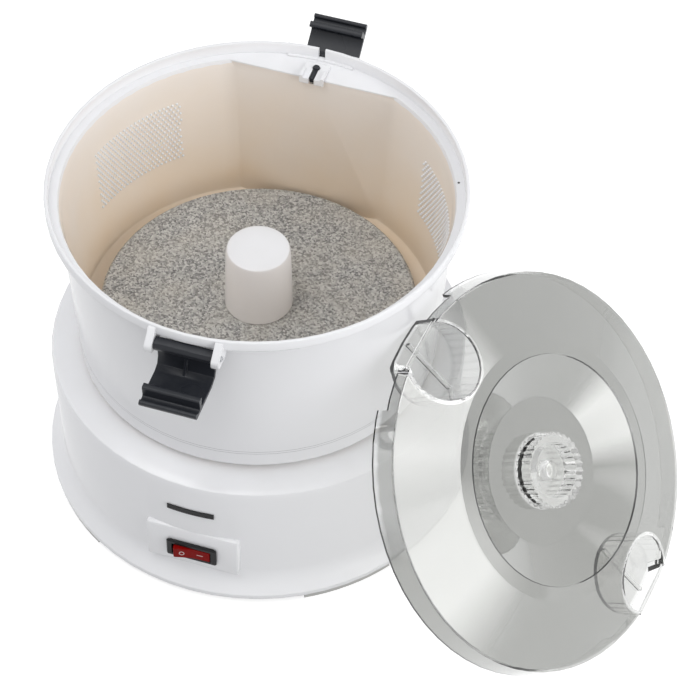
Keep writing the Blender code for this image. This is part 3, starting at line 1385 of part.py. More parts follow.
def build():
    white = new_material("white_plastic", (0.82, 0.82, 0.83), 0.25)
    anthracite = new_material("anthracite_plastic", (0.055, 0.057, 0.065), 0.4)
    black = new_material("black_plastic", (0.012, 0.012, 0.013), 0.35)
    red = new_material("red_plastic", (0.60, 0.03, 0.02), 0.3)
    grey = new_material("grey_rubber", (0.55, 0.55, 0.55), 0.7)
    clear = new_material("clear_plastic", (0.85, 0.87, 0.87), 0.08, alpha=0.35)
    steel = new_material("steel", (0.55, 0.56, 0.58), 0.35, metallic=1.0)
    brass = new_material("brass", (0.65, 0.50, 0.22), 0.35, metallic=1.0)
    grit = new_material("grit", (0.45, 0.46, 0.47), 0.8, metallic=0.3)

    drum = empty("drum_axis", Matrix.Identity(4))
    base_shell(white, drum)
    bottom_cover(white, drum)
    cover_screws(steel, drum)
    feet(grey, drum)
    name_strip(black, drum)
    switch_housing(black, drum)
    terminals(brass, drum)
    rocker(red, empty("rocker_pivot", rocker_frame()))
    cord_gland(grey, drum)

    gear_plate(steel, drum)
    plate_posts(steel, drum)
    bearings(brass, grey, drum)
    idler_pin(steel, drum)
    motor(steel, black, drum)
    microswitch(black, steel, drum)
    output_train(steel, white, empty("output_axis", Matrix.Identity(4)))
    idler(white, empty("idler_axis", Matrix.Translation(IDLER_PLACE)))
    rotor(steel, brass, empty("motor_axis", Matrix.Translation(MOTOR_PLACE)))

    carrier = empty("bowl_lift", Matrix.Translation((0, 0, BOWL_FLOOR_BOTTOM_Z)))
    bowl(white, carrier)
    bowl_bush(brass, carrier)
    bracket(white, carrier)
    pin_axis = empty("pin_axis", Matrix.Translation(pin_place(PIN_TOP_Z)))
    push_pin(anthracite, pin_axis)
    return_spring(steel, carrier)
    clip("front_clip", anthracite, empty("front_hinge", hinge_frame(0, FRONT_CLIP_SWING)))
    clip("rear_clip", anthracite, empty("rear_hinge", hinge_frame(180, REAR_CLIP_SWING)))
    hinge_pin("front_hinge_pin", 0, steel, carrier)
    hinge_pin("rear_hinge_pin", 180, steel, carrier)

    spindle = empty("disc_axis", Matrix.Translation((0, 0, disc_bottom())))
    peeling_disc(grit, spindle)
    centre_post(white, spindle)
    coupling_socket(white, spindle)

    cover = empty("lid_place", lid_frame())
    lid(clear, cover)
    lid_knob(clear, cover)
    knob_dome(clear, cover)


build()
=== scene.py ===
# %% [markdown]
# # An electric potato peeler and its looks
#
# The peeler is a white plastic drum on a motor base, with a clear lid leaning against it.
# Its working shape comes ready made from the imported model. This script gives every part its
# finish, adds the relief that is too fine for the working model, and lights the whole.

import math

import bmesh
import bpy
from mathutils import Matrix, Vector
from mathutils.bvhtree import BVHTree
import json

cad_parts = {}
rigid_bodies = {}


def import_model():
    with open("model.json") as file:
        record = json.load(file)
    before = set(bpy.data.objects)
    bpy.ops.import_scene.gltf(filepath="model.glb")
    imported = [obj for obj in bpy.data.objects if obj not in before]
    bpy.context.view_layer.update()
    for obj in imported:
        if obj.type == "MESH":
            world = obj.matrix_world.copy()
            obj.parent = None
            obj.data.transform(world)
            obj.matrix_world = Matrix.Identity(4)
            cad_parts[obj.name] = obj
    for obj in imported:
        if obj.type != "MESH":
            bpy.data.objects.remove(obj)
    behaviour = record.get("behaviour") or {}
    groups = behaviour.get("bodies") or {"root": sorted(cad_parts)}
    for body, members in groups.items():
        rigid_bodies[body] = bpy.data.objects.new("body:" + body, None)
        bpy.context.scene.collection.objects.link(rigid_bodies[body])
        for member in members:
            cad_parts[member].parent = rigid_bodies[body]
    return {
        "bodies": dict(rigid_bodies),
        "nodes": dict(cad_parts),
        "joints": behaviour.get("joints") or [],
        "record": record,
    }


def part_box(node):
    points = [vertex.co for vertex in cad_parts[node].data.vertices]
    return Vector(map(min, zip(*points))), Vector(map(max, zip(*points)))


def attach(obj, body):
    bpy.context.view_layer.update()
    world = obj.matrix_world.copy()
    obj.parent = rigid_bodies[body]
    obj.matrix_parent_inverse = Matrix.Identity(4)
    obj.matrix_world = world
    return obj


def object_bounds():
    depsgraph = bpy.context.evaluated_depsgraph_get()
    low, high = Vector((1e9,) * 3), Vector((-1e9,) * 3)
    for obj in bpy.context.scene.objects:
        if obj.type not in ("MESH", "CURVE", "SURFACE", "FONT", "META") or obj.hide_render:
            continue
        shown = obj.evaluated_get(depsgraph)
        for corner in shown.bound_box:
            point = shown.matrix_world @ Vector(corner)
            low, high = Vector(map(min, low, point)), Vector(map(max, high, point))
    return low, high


for item in list(bpy.data.objects):
    bpy.data.objects.remove(item)

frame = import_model()
nodes = frame["nodes"]
bpy.context.view_layer.update()
box_at_start = [list(corner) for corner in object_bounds()]
print(len(nodes), "parts, box", box_at_start)

# %% [markdown]
# ## The rounded forms
#
# The working model is made of flat facets. On the real peeler the drum, the lid and the clips are
# smooth, and only their true corners are sharp. A geometry modifier joins the facets' points and
# marks an edge as sharp where its two facets meet at more than a given angle, so light runs
# smoothly round the rest. The shape itself stays as it is.

# %% A modifier that smooths between facets and keeps the corners
MERGE_DISTANCE = 2e-6


def smoothing_group():
    group = bpy.data.node_groups.new("smooth_between_facets", "GeometryNodeTree")
    group.interface.new_socket("Geometry", in_out="INPUT", socket_type="NodeSocketGeometry")
    group.interface.new_socket("Corner angle", in_out="INPUT", socket_type="NodeSocketFloat")
    group.interface.new_socket("Geometry", in_out="OUTPUT", socket_type="NodeSocketGeometry")
    source = group.nodes.new("NodeGroupInput")
    merge = group.nodes.new("GeometryNodeMergeByDistance")
    merge.inputs["Distance"].default_value = MERGE_DISTANCE
    edge_angle = group.nodes.new("GeometryNodeInputMeshEdgeAngle")
    corner = group.nodes.new("FunctionNodeCompare")
    corner.data_type = "FLOAT"
    corner.operation = "GREATER_THAN"
    normals = group.nodes.new("GeometryNodeSetMeshNormal")
    normals.mode = "SHARPNESS"
    normals.inputs["Remove Custom"].default_value = True
    target = group.nodes.new("NodeGroupOutput")
    link = group.links.new
    link(source.outputs["Geometry"], merge.inputs["Geometry"])
    link(merge.outputs["Geometry"], normals.inputs["Mesh"])
    link(edge_angle.outputs["Unsigned Angle"], corner.inputs[0])
    link(source.outputs["Corner angle"], corner.inputs[1])
    link(corner.outputs["Result"], normals.inputs["Edge Sharpness"])
    link(normals.outputs["Mesh"], target.inputs["Geometry"])
    return group


SMOOTHING = smoothing_group()
corner_angle_input = SMOOTHING.interface.items_tree["Corner angle"].identifier
print("the corner angle goes in by", corner_angle_input)

# %% Smooth every part
# The lid's rings meet at shallow angles, so its corners count as sharp much sooner.
CORNER_ANGLE = 32.0
CORNER_ANGLE_OF = {"lid": 6.35, "peeling_disc": 12.0}

for name, obj in nodes.items():
    modifier = obj.modifiers.new("smooth_between_facets", "NODES")
    modifier.node_group = SMOOTHING
    modifier[corner_angle_input] = math.radians(CORNER_ANGLE_OF.get(name, CORNER_ANGLE))
print("smoothed", len(nodes), "parts")

# %% [markdown]
# ## Small helpers for node trees
#
# Lamps, floor and finishes are all node trees. These helpers place a node or two each, link what
# feeds them and hand back the result.

# %% Helpers for numbers and colours


def feed(tree, socket, value):
    """Link another node's output, or set a plain number or colour."""
    if isinstance(value, bpy.types.NodeSocket):
        tree.links.new(value, socket)
    elif value is not None:
        socket.default_value = value


def add_math(tree, operation, first, second=None):
    node = tree.nodes.new("ShaderNodeMath")
    node.operation = operation
    feed(tree, node.inputs[0], first)
    feed(tree, node.inputs[1], second)
    return node.outputs[0]


def add_together(tree, operation, values):
    """Join any number of values by one operation."""
    total = values[0]
    for value in values[1:]:
        total = add_math(tree, operation, total, value)
    return total


def add_distance(tree, across, along):
    """The distance that two steps at right angles make together."""
    squares = [add_math(tree, "MULTIPLY", step, step) for step in (across, along)]
    return add_math(tree, "SQRT", add_math(tree, "ADD", *squares))


def add_mix(tree, factor, first, second):
    node = tree.nodes.new("ShaderNodeMix")
    node.data_type = "RGBA"
    feed(tree, node.inputs["Factor"], factor)
    feed(tree, node.inputs["A"], first)
    feed(tree, node.inputs["B"], second)
    return node.outputs["Result"]


def add_noise(tree, vector, scale, detail=2.0):
    node = tree.nodes.new("ShaderNodeTexNoise")
    feed(tree, node.inputs["Vector"], vector)
    feed(tree, node.inputs["Scale"], scale)
    feed(tree, node.inputs["Detail"], detail)
    return node.outputs["Fac"]


def add_range(tree, value, low, high, to_low=0.0, to_high=1.0):
    node = tree.nodes.new("ShaderNodeMapRange")
    feed(tree, node.inputs["Value"], value)
    limits = (("From Min", low), ("From Max", high), ("To Min", to_low), ("To Max", to_high))
    for title, limit in limits:
        feed(tree, node.inputs[title], limit)
    return node.outputs["Result"]


# %% Helpers for places and directions


def own_place(tree):
    """Where a point lies in the part's own frame."""
    return tree.nodes.new("ShaderNodeTexCoord").outputs["Object"]


def split_axes(tree, vector):
    node = tree.nodes.new("ShaderNodeSeparateXYZ")
    tree.links.new(vector, node.inputs[0])
    return node.outputs


def add_vector_math(tree, operation, first, second):
    node = tree.nodes.new("ShaderNodeVectorMath")
    node.operation = operation
    feed(tree, node.inputs[0], first)
    feed(tree, node.inputs[1], second)
    return node.outputs["Value" if operation == "DOT_PRODUCT" else "Vector"]


def add_stretch(tree, vector, amounts):
    """Scale a place by its own amount along each axis."""
    scale = tree.nodes.new("ShaderNodeCombineXYZ")
    for socket, amount in zip(scale.inputs, amounts):
        feed(tree, socket, amount)
    return add_vector_math(tree, "MULTIPLY", vector, scale.outputs[0])


# %% [markdown]
# ## Camera
#
# The photograph was taken from above with a long lens, from the front and a little to the right.
# The camera's place, target and roll were worked out from the rim, the foot and the lid.

# %% Camera
CAMERA_PLACE = Vector((0.3499, -0.9924, 1.2777))
CAMERA_TARGET = Vector((0.0532, 0.0157, 0.0793))
CAMERA_ROLL = math.radians(1.513)
LENS = 133.7
SENSOR = 36.0
NEAREST, FURTHEST = 0.05, 60.0

camera_data = bpy.data.cameras.new("camera")
camera_data.lens = LENS
camera_data.sensor_width = SENSOR
camera_data.clip_start = NEAREST
camera_data.clip_end = FURTHEST
camera = bpy.data.objects.new("camera", camera_data)
bpy.context.scene.collection.objects.link(camera)

backwards = (CAMERA_PLACE - CAMERA_TARGET).normalized()
level_right = Vector((0, 0, 1)).cross(backwards).normalized()
level_up = backwards.cross(level_right)
right = level_right * math.cos(CAMERA_ROLL) + level_up * math.sin(CAMERA_ROLL)
up = backwards.cross(right)
camera.matrix_world = Matrix((
    (right.x, up.x, backwards.x, CAMERA_PLACE.x),
    (right.y, up.y, backwards.y, CAMERA_PLACE.y),
    (right.z, up.z, backwards.z, CAMERA_PLACE.z),
    (0, 0, 0, 1),
))
bpy.context.scene.camera = camera
print("camera looks along", [round(-value, 3) for value in backwards])

# %% [markdown]
# ## Floor, sky and lamps
#
# The peeler stands on a white sweep that fades into a white background. The floor is a large
# square mesh under the feet. What the camera, a mirror or the clear lid sees of it is lifted to
# plain white, with the soft shadow left in. The light that it throws back on the peeler is plain.

# %% One look for the eye, another for the light that is thrown back


def white_to_the_eye(tree):
    """1 for rays from the camera, from gloss and through glass, else 0."""
    path = tree.nodes.new("ShaderNodeLightPath")
    kinds = ("Is Camera Ray", "Is Glossy Ray", "Is Transmission Ray")
    return add_together(tree, "MAXIMUM", [path.outputs[kind] for kind in kinds])


def show(tree, thrown_back, seen, output_kind):
    mix = tree.nodes.new("ShaderNodeMixShader")
    output = tree.nodes.new(output_kind)
    tree.links.new(white_to_the_eye(tree), mix.inputs[0])
    tree.links.new(thrown_back.outputs[0], mix.inputs[1])
    tree.links.new(seen.outputs[0], mix.inputs[2])
    tree.links.new(mix.outputs[0], output.inputs["Surface"])


# %% Floor
FLOOR_Z = box_at_start[0][2]
FLOOR_HALF = 6.0
FLOOR_PLAIN = (0.46, 0.46, 0.46, 1)
FLOOR_SHADED = (0.50, 0.50, 0.50, 1)
FLOOR_LIFT = 0.71
WHITE_LIGHT = (1, 1, 1, 1)

floor_corners = ((-1, -1), (1, -1), (1, 1), (-1, 1))
floor_mesh = bpy.data.meshes.new("floor")
floor_mesh.from_pydata(
    [(x * FLOOR_HALF, y * FLOOR_HALF, FLOOR_Z) for x, y in floor_corners], [], [(0, 1, 2, 3)])
floor = bpy.data.objects.new("floor", floor_mesh)
bpy.context.scene.collection.objects.link(floor)

floor_paint = bpy.data.materials.new("floor_paint")
floor_paint.use_nodes = True
paint = floor_paint.node_tree
paint.nodes.clear()
plain = paint.nodes.new("ShaderNodeBsdfDiffuse")
plain.inputs["Color"].default_value = FLOOR_PLAIN
shaded = paint.nodes.new("ShaderNodeBsdfDiffuse")
shaded.inputs["Color"].default_value = FLOOR_SHADED
lift = paint.nodes.new("ShaderNodeEmission")
lift.inputs["Color"].default_value = WHITE_LIGHT
lift.inputs["Strength"].default_value = FLOOR_LIFT
lifted = paint.nodes.new("ShaderNodeAddShader")
paint.links.new(shaded.outputs[0], lifted.inputs[0])
paint.links.new(lift.outputs[0], lifted.inputs[1])
show(paint, plain, lifted, "ShaderNodeOutputMaterial")
floor_mesh.materials.append(floor_paint)
print("floor at", round(FLOOR_Z * 1000, 2), "mm")

# %% Sky
SKY_LIGHT = (0.97, 0.98, 1.0, 1)
SKY_STRENGTH = 0.58

world = bpy.data.worlds.new("studio")
bpy.context.scene.world = world
world.use_nodes = True
sky = world.node_tree
sky.nodes.clear()
soft = sky.nodes.new("ShaderNodeBackground")
soft.inputs["Color"].default_value = SKY_LIGHT
soft.inputs["Strength"].default_value = SKY_STRENGTH
white = sky.nodes.new("ShaderNodeBackground")
white.inputs["Color"].default_value = WHITE_LIGHT
white.inputs["Strength"].default_value = 1.0
show(sky, soft, white, "ShaderNodeOutputWorld")
bpy.context.scene.view_settings.view_transform = "Standard"
print("sky strength", SKY_STRENGTH)

# %% [markdown]
# The clear lid mirrors a tall bright window on its lower left slope and in its dish. Worked back
# from the lid's slopes, that window stands low on the right and a little to the front. It also
# lights the inside of the drum's left wall, as in the photograph. Its light fades towards its
# edges, as behind a thin curtain, so its mirror image has soft edges too. A large lamp overhead and
# a weaker one on the left keep the drum's front even.

# %% Lamps
LAMP_EDGE = 0.5
FADE_START = 0.2


def fade_edges(lamp):
    """Full strength in the lamp's middle, none at its edges."""
    lamp.use_nodes = True
    tree = lamp.node_tree
    across = split_axes(tree, tree.nodes.new("ShaderNodeNewGeometry").outputs["Parametric"])
    shares = []
    for axis in ("X", "Y"):
        offset = add_math(tree, "ABSOLUTE", add_math(tree, "SUBTRACT", across[axis], LAMP_EDGE))
        shares.append(add_range(tree, offset, low=LAMP_EDGE, high=FADE_START))
    strength = add_together(tree, "MULTIPLY", shares)
    tree.links.new(strength, tree.nodes["Emission"].inputs["Strength"])


def soft_box(name, place, target, size, watts):
    lamp = bpy.data.lights.new(name, "AREA")
    lamp.shape = "RECTANGLE"
    lamp.size, lamp.size_y = size
    lamp.energy = watts
    fade_edges(lamp)
    holder = bpy.data.objects.new(name, lamp)
    holder.location = place
    holder.rotation_euler = (Vector(target) - Vector(place)).to_track_quat("-Z", "Y").to_euler()
    bpy.context.scene.collection.objects.link(holder)


BETWEEN_DRUM_AND_LID = (0.1, -0.03, 0.1)
MIDDLE_OF_DRUM = (0, 0, 0.1)

soft_box("window", (1.62, -0.57, 0.62), BETWEEN_DRUM_AND_LID, size=(1.21, 1.43), watts=23)
soft_box("skylight", (1.37, 0.08, 1.18), BETWEEN_DRUM_AND_LID, size=(1.36, 0.60), watts=11)
soft_box("overhead", (-0.5, -0.6, 2.2), MIDDLE_OF_DRUM, size=(1.9, 1.9), watts=26)
soft_box("left_side", (-2.0, -0.1, 0.9), MIDDLE_OF_DRUM, size=(1.6, 1.6), watts=11)

# %% [markdown]
# ## Shared effects
#
# Wear and skin look alike on many parts, so each effect is one node group with named inputs. A
# group puts out only colours, masks, heights and directions. Each material then feeds them to its
# own shader.

# %% Helpers that start and end a group


def new_group(name, inputs, outputs):
    group = bpy.data.node_groups.new(name, "ShaderNodeTree")
    for title, value in inputs:
        kind = "NodeSocketColor" if isinstance(value, tuple) else "NodeSocketFloat"
        socket = group.interface.new_socket(title, in_out="INPUT", socket_type=kind)
        socket.default_value = value
    for title, kind in outputs:
        group.interface.new_socket(title, in_out="OUTPUT", socket_type="NodeSocket" + kind)
    return group, group.nodes.new("NodeGroupInput").outputs


def put_out(group, **results):
    end = group.nodes.new("NodeGroupOutput")
    for title, result in results.items():
        group.links.new(result, end.inputs[title])
    return group


# %% [markdown]
# Each plastic part was injection moulded. Its colour is even, but its gloss changes a little from
# place to place, and the skin has a fine waviness from the mould.

# %% Moulded skin
SURFACE_OUTPUTS = [("Colour", "Color"), ("Roughness", "Float"), ("Height", "Float")]


def moulded_skin_group():
    group, given = new_group(
        "moulded_skin",
        [("Colour", (0.8, 0.8, 0.8, 1)), ("Tint", (0.7, 0.7, 0.7, 1)), ("Mottle", 0.1),
         ("Grain", 900.0), ("Gloss low", 0.2), ("Gloss high", 0.3)],
        SURFACE_OUTPUTS)
    place = own_place(group)
    cloud = add_noise(group, place, scale=22.0, detail=3.0)
    grain = add_noise(group, place, given["Grain"])
    amount = add_math(group, "MULTIPLY", cloud, given["Mottle"])
    colour = add_mix(group, amount, given["Colour"], given["Tint"])
    gloss = add_range(group, cloud, 0.3, 0.7, given["Gloss low"], given["Gloss high"])
    return put_out(group, Colour=colour, Roughness=gloss, Height=grain)


MOULDED_SKIN = moulded_skin_group()

# %% [markdown]
# Hands and the worktop rub the proud corners first. On the anthracite clips, the paler colour that
# this mask brings is also partly a painted highlight along the rounded edges. A corner is found by
# comparing the surface's own direction with the direction that it would have if its corners were
# rounded. That rounded direction is put out too, so that a moulded corner catches the light as a
# small round does.

# %% Rubbed corners, and a painted highlight on the clips
BEVEL_SAMPLES = 4


def worn_and_lit_corners_group():
    group, given = new_group(
        "worn_and_lit_corners", [("Width", 0.0005), ("Patchiness", 60.0)],
        [("Mask", "Float"), ("Normal", "Vector")])
    surface = group.nodes.new("ShaderNodeNewGeometry")
    rounded = group.nodes.new("ShaderNodeBevel")
    rounded.samples = BEVEL_SAMPLES
    group.links.new(given["Width"], rounded.inputs["Radius"])
    likeness = add_vector_math(
        group, "DOT_PRODUCT", surface.outputs["Normal"], rounded.outputs["Normal"])
    corner = add_range(group, likeness, low=0.995, high=0.86)
    cloud = add_noise(group, own_place(group), given["Patchiness"], detail=4.0)
    patches = add_range(group, cloud, low=0.35, high=0.62)
    mask = add_math(group, "MULTIPLY", corner, patches)
    return put_out(group, Mask=mask, Normal=rounded.outputs["Normal"])


WORN_AND_LIT_CORNERS = worn_and_lit_corners_group()

# %% [markdown]
# Dust and dried starch lie thinly on what faces upwards. Fine scratches are long thin streaks that
# run in three directions. Both are masks.

# %% Settled dust and fine scratches
STREAK_TURNS = (0.4, 1.7, 2.6)
STREAK_AXIS = (0.3, 0.5, 0.8)


def settled_dust_group():
    group, given = new_group(
        "settled_dust", [("Amount", 0.3), ("Clumps", 90.0)], [("Mask", "Float")])
    upwards = split_axes(group, group.nodes.new("ShaderNodeNewGeometry").outputs["Normal"])["Z"]
    facing_up = add_range(group, upwards, low=0.35, high=0.98)
    cloud = add_noise(group, own_place(group), given["Clumps"], detail=5.0)
    clumps = add_range(group, cloud, low=0.38, high=0.72)
    return put_out(group, Mask=add_together(group, "MULTIPLY", [facing_up, clumps, given["Amount"]]))


def fine_scratches_group():
    group, given = new_group(
        "fine_scratches", [("Length", 12.0), ("Fineness", 900.0)], [("Mask", "Float")])
    place = own_place(group)
    streaks = []
    for turn in STREAK_TURNS:
        spin = group.nodes.new("ShaderNodeVectorRotate")
        spin.inputs["Angle"].default_value = turn
        spin.inputs["Axis"].default_value = STREAK_AXIS
        group.links.new(place, spin.inputs["Vector"])
        drawn_out = add_stretch(
            group, spin.outputs[0], (given["Length"], given["Fineness"], given["Fineness"]))
        streaks.append(add_range(group, add_noise(group, drawn_out, 1.0), low=0.68, high=0.76))
    return put_out(group, Mask=add_together(group, "MAXIMUM", streaks))


SETTLED_DUST = settled_dust_group()
FINE_SCRATCHES = fine_scratches_group()

# %% [markdown]
# The peeling disc carries an abrasive coat: coarse grains of a hard mineral, each a slightly
# different grey, stuck close together. Cells give each grain its own tone and a raised middle.
# Brushed metal has fine lines that run round the part, and a few duller stains.

# %% Grit, and brushed metal
ALONG_THE_LINES = 20.0


def grit_grains_group():
    group, given = new_group(
        "grit_grains",
        [("Dark", (0.2, 0.2, 0.2, 1)), ("Light", (0.6, 0.6, 0.6, 1)), ("Grain", 900.0)],
        SURFACE_OUTPUTS)
    cells = group.nodes.new("ShaderNodeTexVoronoi")
    group.links.new(own_place(group), cells.inputs["Vector"])
    group.links.new(given["Grain"], cells.inputs["Scale"])
    tone = group.nodes.new("ShaderNodeSeparateColor")
    group.links.new(cells.outputs["Color"], tone.inputs[0])
    return put_out(
        group,
        Colour=add_mix(group, tone.outputs["Red"], given["Dark"], given["Light"]),
        Roughness=add_range(group, tone.outputs["Green"], 0.0, 1.0, to_low=0.45, to_high=0.9),
        Height=add_range(group, cells.outputs["Distance"], 0.0, 0.7, to_low=1.0, to_high=0.0))


def brushed_metal_group():
    group, given = new_group(
        "brushed_metal",
        [("Bright", (0.6, 0.6, 0.6, 1)), ("Dull", (0.4, 0.4, 0.4, 1)), ("Fineness", 700.0)],
        SURFACE_OUTPUTS)
    place = own_place(group)
    drawn_out = add_stretch(group, place, (ALONG_THE_LINES, ALONG_THE_LINES, given["Fineness"]))
    lines = add_noise(group, drawn_out, 1.0, detail=3.0)
    stain = add_range(group, add_noise(group, place, 60.0, detail=3.0), low=0.4, high=0.7)
    return put_out(
        group,
        Colour=add_mix(group, stain, given["Bright"], given["Dull"]),
        Roughness=add_range(group, lines, 0.3, 0.7, to_low=0.24, to_high=0.46),
        Height=lines)


GRIT_GRAINS = grit_grains_group()
BRUSHED_METAL = brushed_metal_group()
print("shared effects", [group.name for group in bpy.data.node_groups])

# %% [markdown]
# ## Finishes
#
# Every finish is one material. The helpers start it, place a shared effect in it with that
# effect's settings, and give its shader a fine relief.

# %% Helpers for finishes


def new_finish(name):
    material = bpy.data.materials.new(name)
    material.use_nodes = True
    tree = material.node_tree
    return material, tree, tree.nodes["Principled BSDF"]


def use_effect(tree, group, **settings):
    node = tree.nodes.new("ShaderNodeGroup")
    node.node_tree = group
    for title, value in settings.items():
        socket = node.inputs[title.replace("_", " ")]
        socket.default_value = (*value, 1) if isinstance(value, tuple) else value
    return node.outputs


def add_relief(tree, shader, height, depth, strength=0.5, rounded=None):
    relief = tree.nodes.new("ShaderNodeBump")
    relief.inputs["Strength"].default_value = strength
    relief.inputs["Distance"].default_value = depth
    tree.links.new(height, relief.inputs["Height"])
    if rounded is not None:
        tree.links.new(rounded, relief.inputs["Normal"])
    tree.links.new(relief.outputs["Normal"], shader.inputs["Normal"])


# %% [markdown]
# The drum is glossy white plastic. Its inside carries a painted warm shade, which stands in for
# the warm light thrown back inside the drum and the shade deep in it, strongest low down. The fine
# double groove round the bowl's foot is painted as two grey lines of shade. Both follow from the
# height and the distance from the drum's axis.

# %% Masks for the bowl
BOWL_FOOT_Z = 0.0992
BOWL_MIDDLE_OF_WALL = 0.107
BOWL_LEAN = 0.060
LEDGE_Z = 0.2137
BELOW_LEDGE_Z = LEDGE_Z - 0.0008
DEEP_Z = 0.12
GROOVES = (0.1098, 0.1116)
GROOVE_HALF = 0.00022


def bowl_masks_group():
    group, given = new_group(
        "bowl_masks", [("Patchiness", 30.0)], [("Inside", "Float"), ("Groove", "Float")])
    place = own_place(group)
    axes = split_axes(group, place)
    height = axes["Z"]
    radius = add_distance(group, axes["X"], axes["Y"])
    above_foot = add_math(group, "SUBTRACT", height, BOWL_FOOT_Z)
    lean = add_math(group, "MULTIPLY", above_foot, BOWL_LEAN)
    wall = add_math(group, "ADD", lean, BOWL_MIDDLE_OF_WALL)
    within = add_math(group, "LESS_THAN", radius, wall)
    below_ledge = add_math(group, "LESS_THAN", height, BELOW_LEDGE_Z)
    # The painted warm shade grows towards the bottom of the bowl.
    deep = add_range(group, height, LEDGE_Z, DEEP_Z, to_low=0.45, to_high=1.0)
    cloud = add_noise(group, place, given["Patchiness"], detail=3.0)
    patches = add_range(group, cloud, 0.2, 0.8, to_low=0.75, to_high=1.0)
    inside = add_together(group, "MULTIPLY", [within, below_ledge, deep, patches])
    # Two thin rings of painted shade mark the grooves round the foot.
    lines = []
    for middle in GROOVES:
        offset = add_math(group, "ABSOLUTE", add_math(group, "SUBTRACT", height, middle))
        lines.append(add_range(group, offset, low=GROOVE_HALF, high=GROOVE_HALF / 2))
    outside = add_math(group, "SUBTRACT", 1.0, within)
    groove = add_math(group, "MULTIPLY", add_together(group, "MAXIMUM", lines), outside)
    return put_out(group, Inside=inside, Groove=groove)


BOWL_MASKS = bowl_masks_group()

# %% White plastic, with a version for the bowl
WHITE = (0.87, 0.87, 0.885)
WHITE_SHADE = (0.81, 0.815, 0.83)
# Painted warm shade for the bowl's inside: the warm light thrown back there and the shade deep in the
# drum.
PAINTED_WARM_SHADE = (0.86, 0.70, 0.52, 1)
# Grey for the painted shade in the two fine grooves round the bowl's foot.
PAINTED_GROOVE_SHADE = (0.45, 0.45, 0.46, 1)
DUST = (0.74, 0.73, 0.70, 1)
SKIN_DEPTH = 0.00001


def white_finish(name, for_bowl=False):
    material, tree, shader = new_finish(name)
    skin = use_effect(tree, MOULDED_SKIN, Colour=WHITE, Tint=WHITE_SHADE, Mottle=0.4, Grain=700.0,
                      Gloss_low=0.14, Gloss_high=0.24)
    dust = use_effect(tree, SETTLED_DUST, Amount=0.10, Clumps=70.0)
    corners = use_effect(tree, WORN_AND_LIT_CORNERS, Width=0.0008, Patchiness=60.0)
    colour = add_mix(tree, dust["Mask"], skin["Colour"], DUST)
    if for_bowl:
        masks = use_effect(tree, BOWL_MASKS, Patchiness=30.0)
        # Painted warm shade over the bowl's inside, then painted shade in its two grooves.
        colour = add_mix(tree, masks["Inside"], colour, PAINTED_WARM_SHADE)
        colour = add_mix(tree, masks["Groove"], colour, PAINTED_GROOVE_SHADE)
    tree.links.new(colour, shader.inputs["Base Color"])
    tree.links.new(skin["Roughness"], shader.inputs["Roughness"])
    add_relief(tree, shader, skin["Height"], SKIN_DEPTH, rounded=corners["Normal"])
    return material


white_plastic = white_finish("white_plastic")
white_bowl = white_finish("white_plastic_bowl", for_bowl=True)
print("white finishes", white_plastic.name, white_bowl.name)

# %% [markdown]
# The clips, the bezel and the rocker are harder, darker plastics. Their rubbed corners turn paler.

# %% Dark and red plastics, rubber


def worn_finish(name, colour, tint, worn_and_lit_tone, grain, gloss, depth, corner_width, dust_amount, shine=0.5):
    material, tree, shader = new_finish(name)
    shader.inputs["Specular IOR Level"].default_value = shine
    skin = use_effect(tree, MOULDED_SKIN, Colour=colour, Tint=tint, Mottle=0.7, Grain=grain,
                      Gloss_low=gloss[0], Gloss_high=gloss[1])
    corners = use_effect(tree, WORN_AND_LIT_CORNERS, Width=corner_width, Patchiness=120.0)
    dust = use_effect(tree, SETTLED_DUST, Amount=dust_amount, Clumps=160.0)
    worn_and_lit_colour = add_mix(tree, corners["Mask"], skin["Colour"], (*worn_and_lit_tone, 1))
    dusty = add_mix(tree, dust["Mask"], worn_and_lit_colour, DUST)
    tree.links.new(dusty, shader.inputs["Base Color"])
    tree.links.new(skin["Roughness"], shader.inputs["Roughness"])
    add_relief(tree, shader, skin["Height"], depth, rounded=corners["Normal"])
    return material


# On the clips, the paler corner tone is partly wear and partly a painted highlight along their
# rounded edges.
anthracite_plastic = worn_finish(
    "anthracite_plastic", colour=(0.016, 0.018, 0.023), tint=(0.024, 0.026, 0.032),
    worn_and_lit_tone=(0.09, 0.095, 0.105), grain=1600.0, gloss=(0.24, 0.34), depth=0.00002,
    corner_width=0.0006, dust_amount=0.01, shine=0.25)
black_plastic = worn_finish(
    "black_plastic", colour=(0.012, 0.012, 0.013), tint=(0.02, 0.02, 0.021),
    worn_and_lit_tone=(0.05, 0.05, 0.05), grain=1500.0, gloss=(0.3, 0.42), depth=0.00002,
    corner_width=0.0003, dust_amount=0.005, shine=0.15)
red_plastic = worn_finish(
    "red_plastic", colour=(0.25, 0.004, 0.003), tint=(0.16, 0.002, 0.002),
    worn_and_lit_tone=(0.36, 0.03, 0.02), grain=900.0, gloss=(0.26, 0.36), depth=0.00001,
    corner_width=0.0003, dust_amount=0.0, shine=0.05)
grey_rubber = worn_finish(
    "grey_rubber", colour=(0.56, 0.56, 0.54), tint=(0.46, 0.46, 0.45),
    worn_and_lit_tone=(0.62, 0.62, 0.6), grain=1400.0, gloss=(0.6, 0.75), depth=0.00006,
    corner_width=0.0004, dust_amount=0.15)
# A near-black for painted shade in small recesses: the screw crosses and the ledge hole.
painted_recess_shade = worn_finish(
    "painted_recess_shade", colour=(0.02, 0.02, 0.021), tint=(0.035, 0.035, 0.036),
    worn_and_lit_tone=(0.05, 0.05, 0.05), grain=1800.0, gloss=(0.5, 0.7), depth=0.00003,
    corner_width=0.0002, dust_amount=0.0)
print("dark finishes", anthracite_plastic.name, black_plastic.name, painted_recess_shade.name)

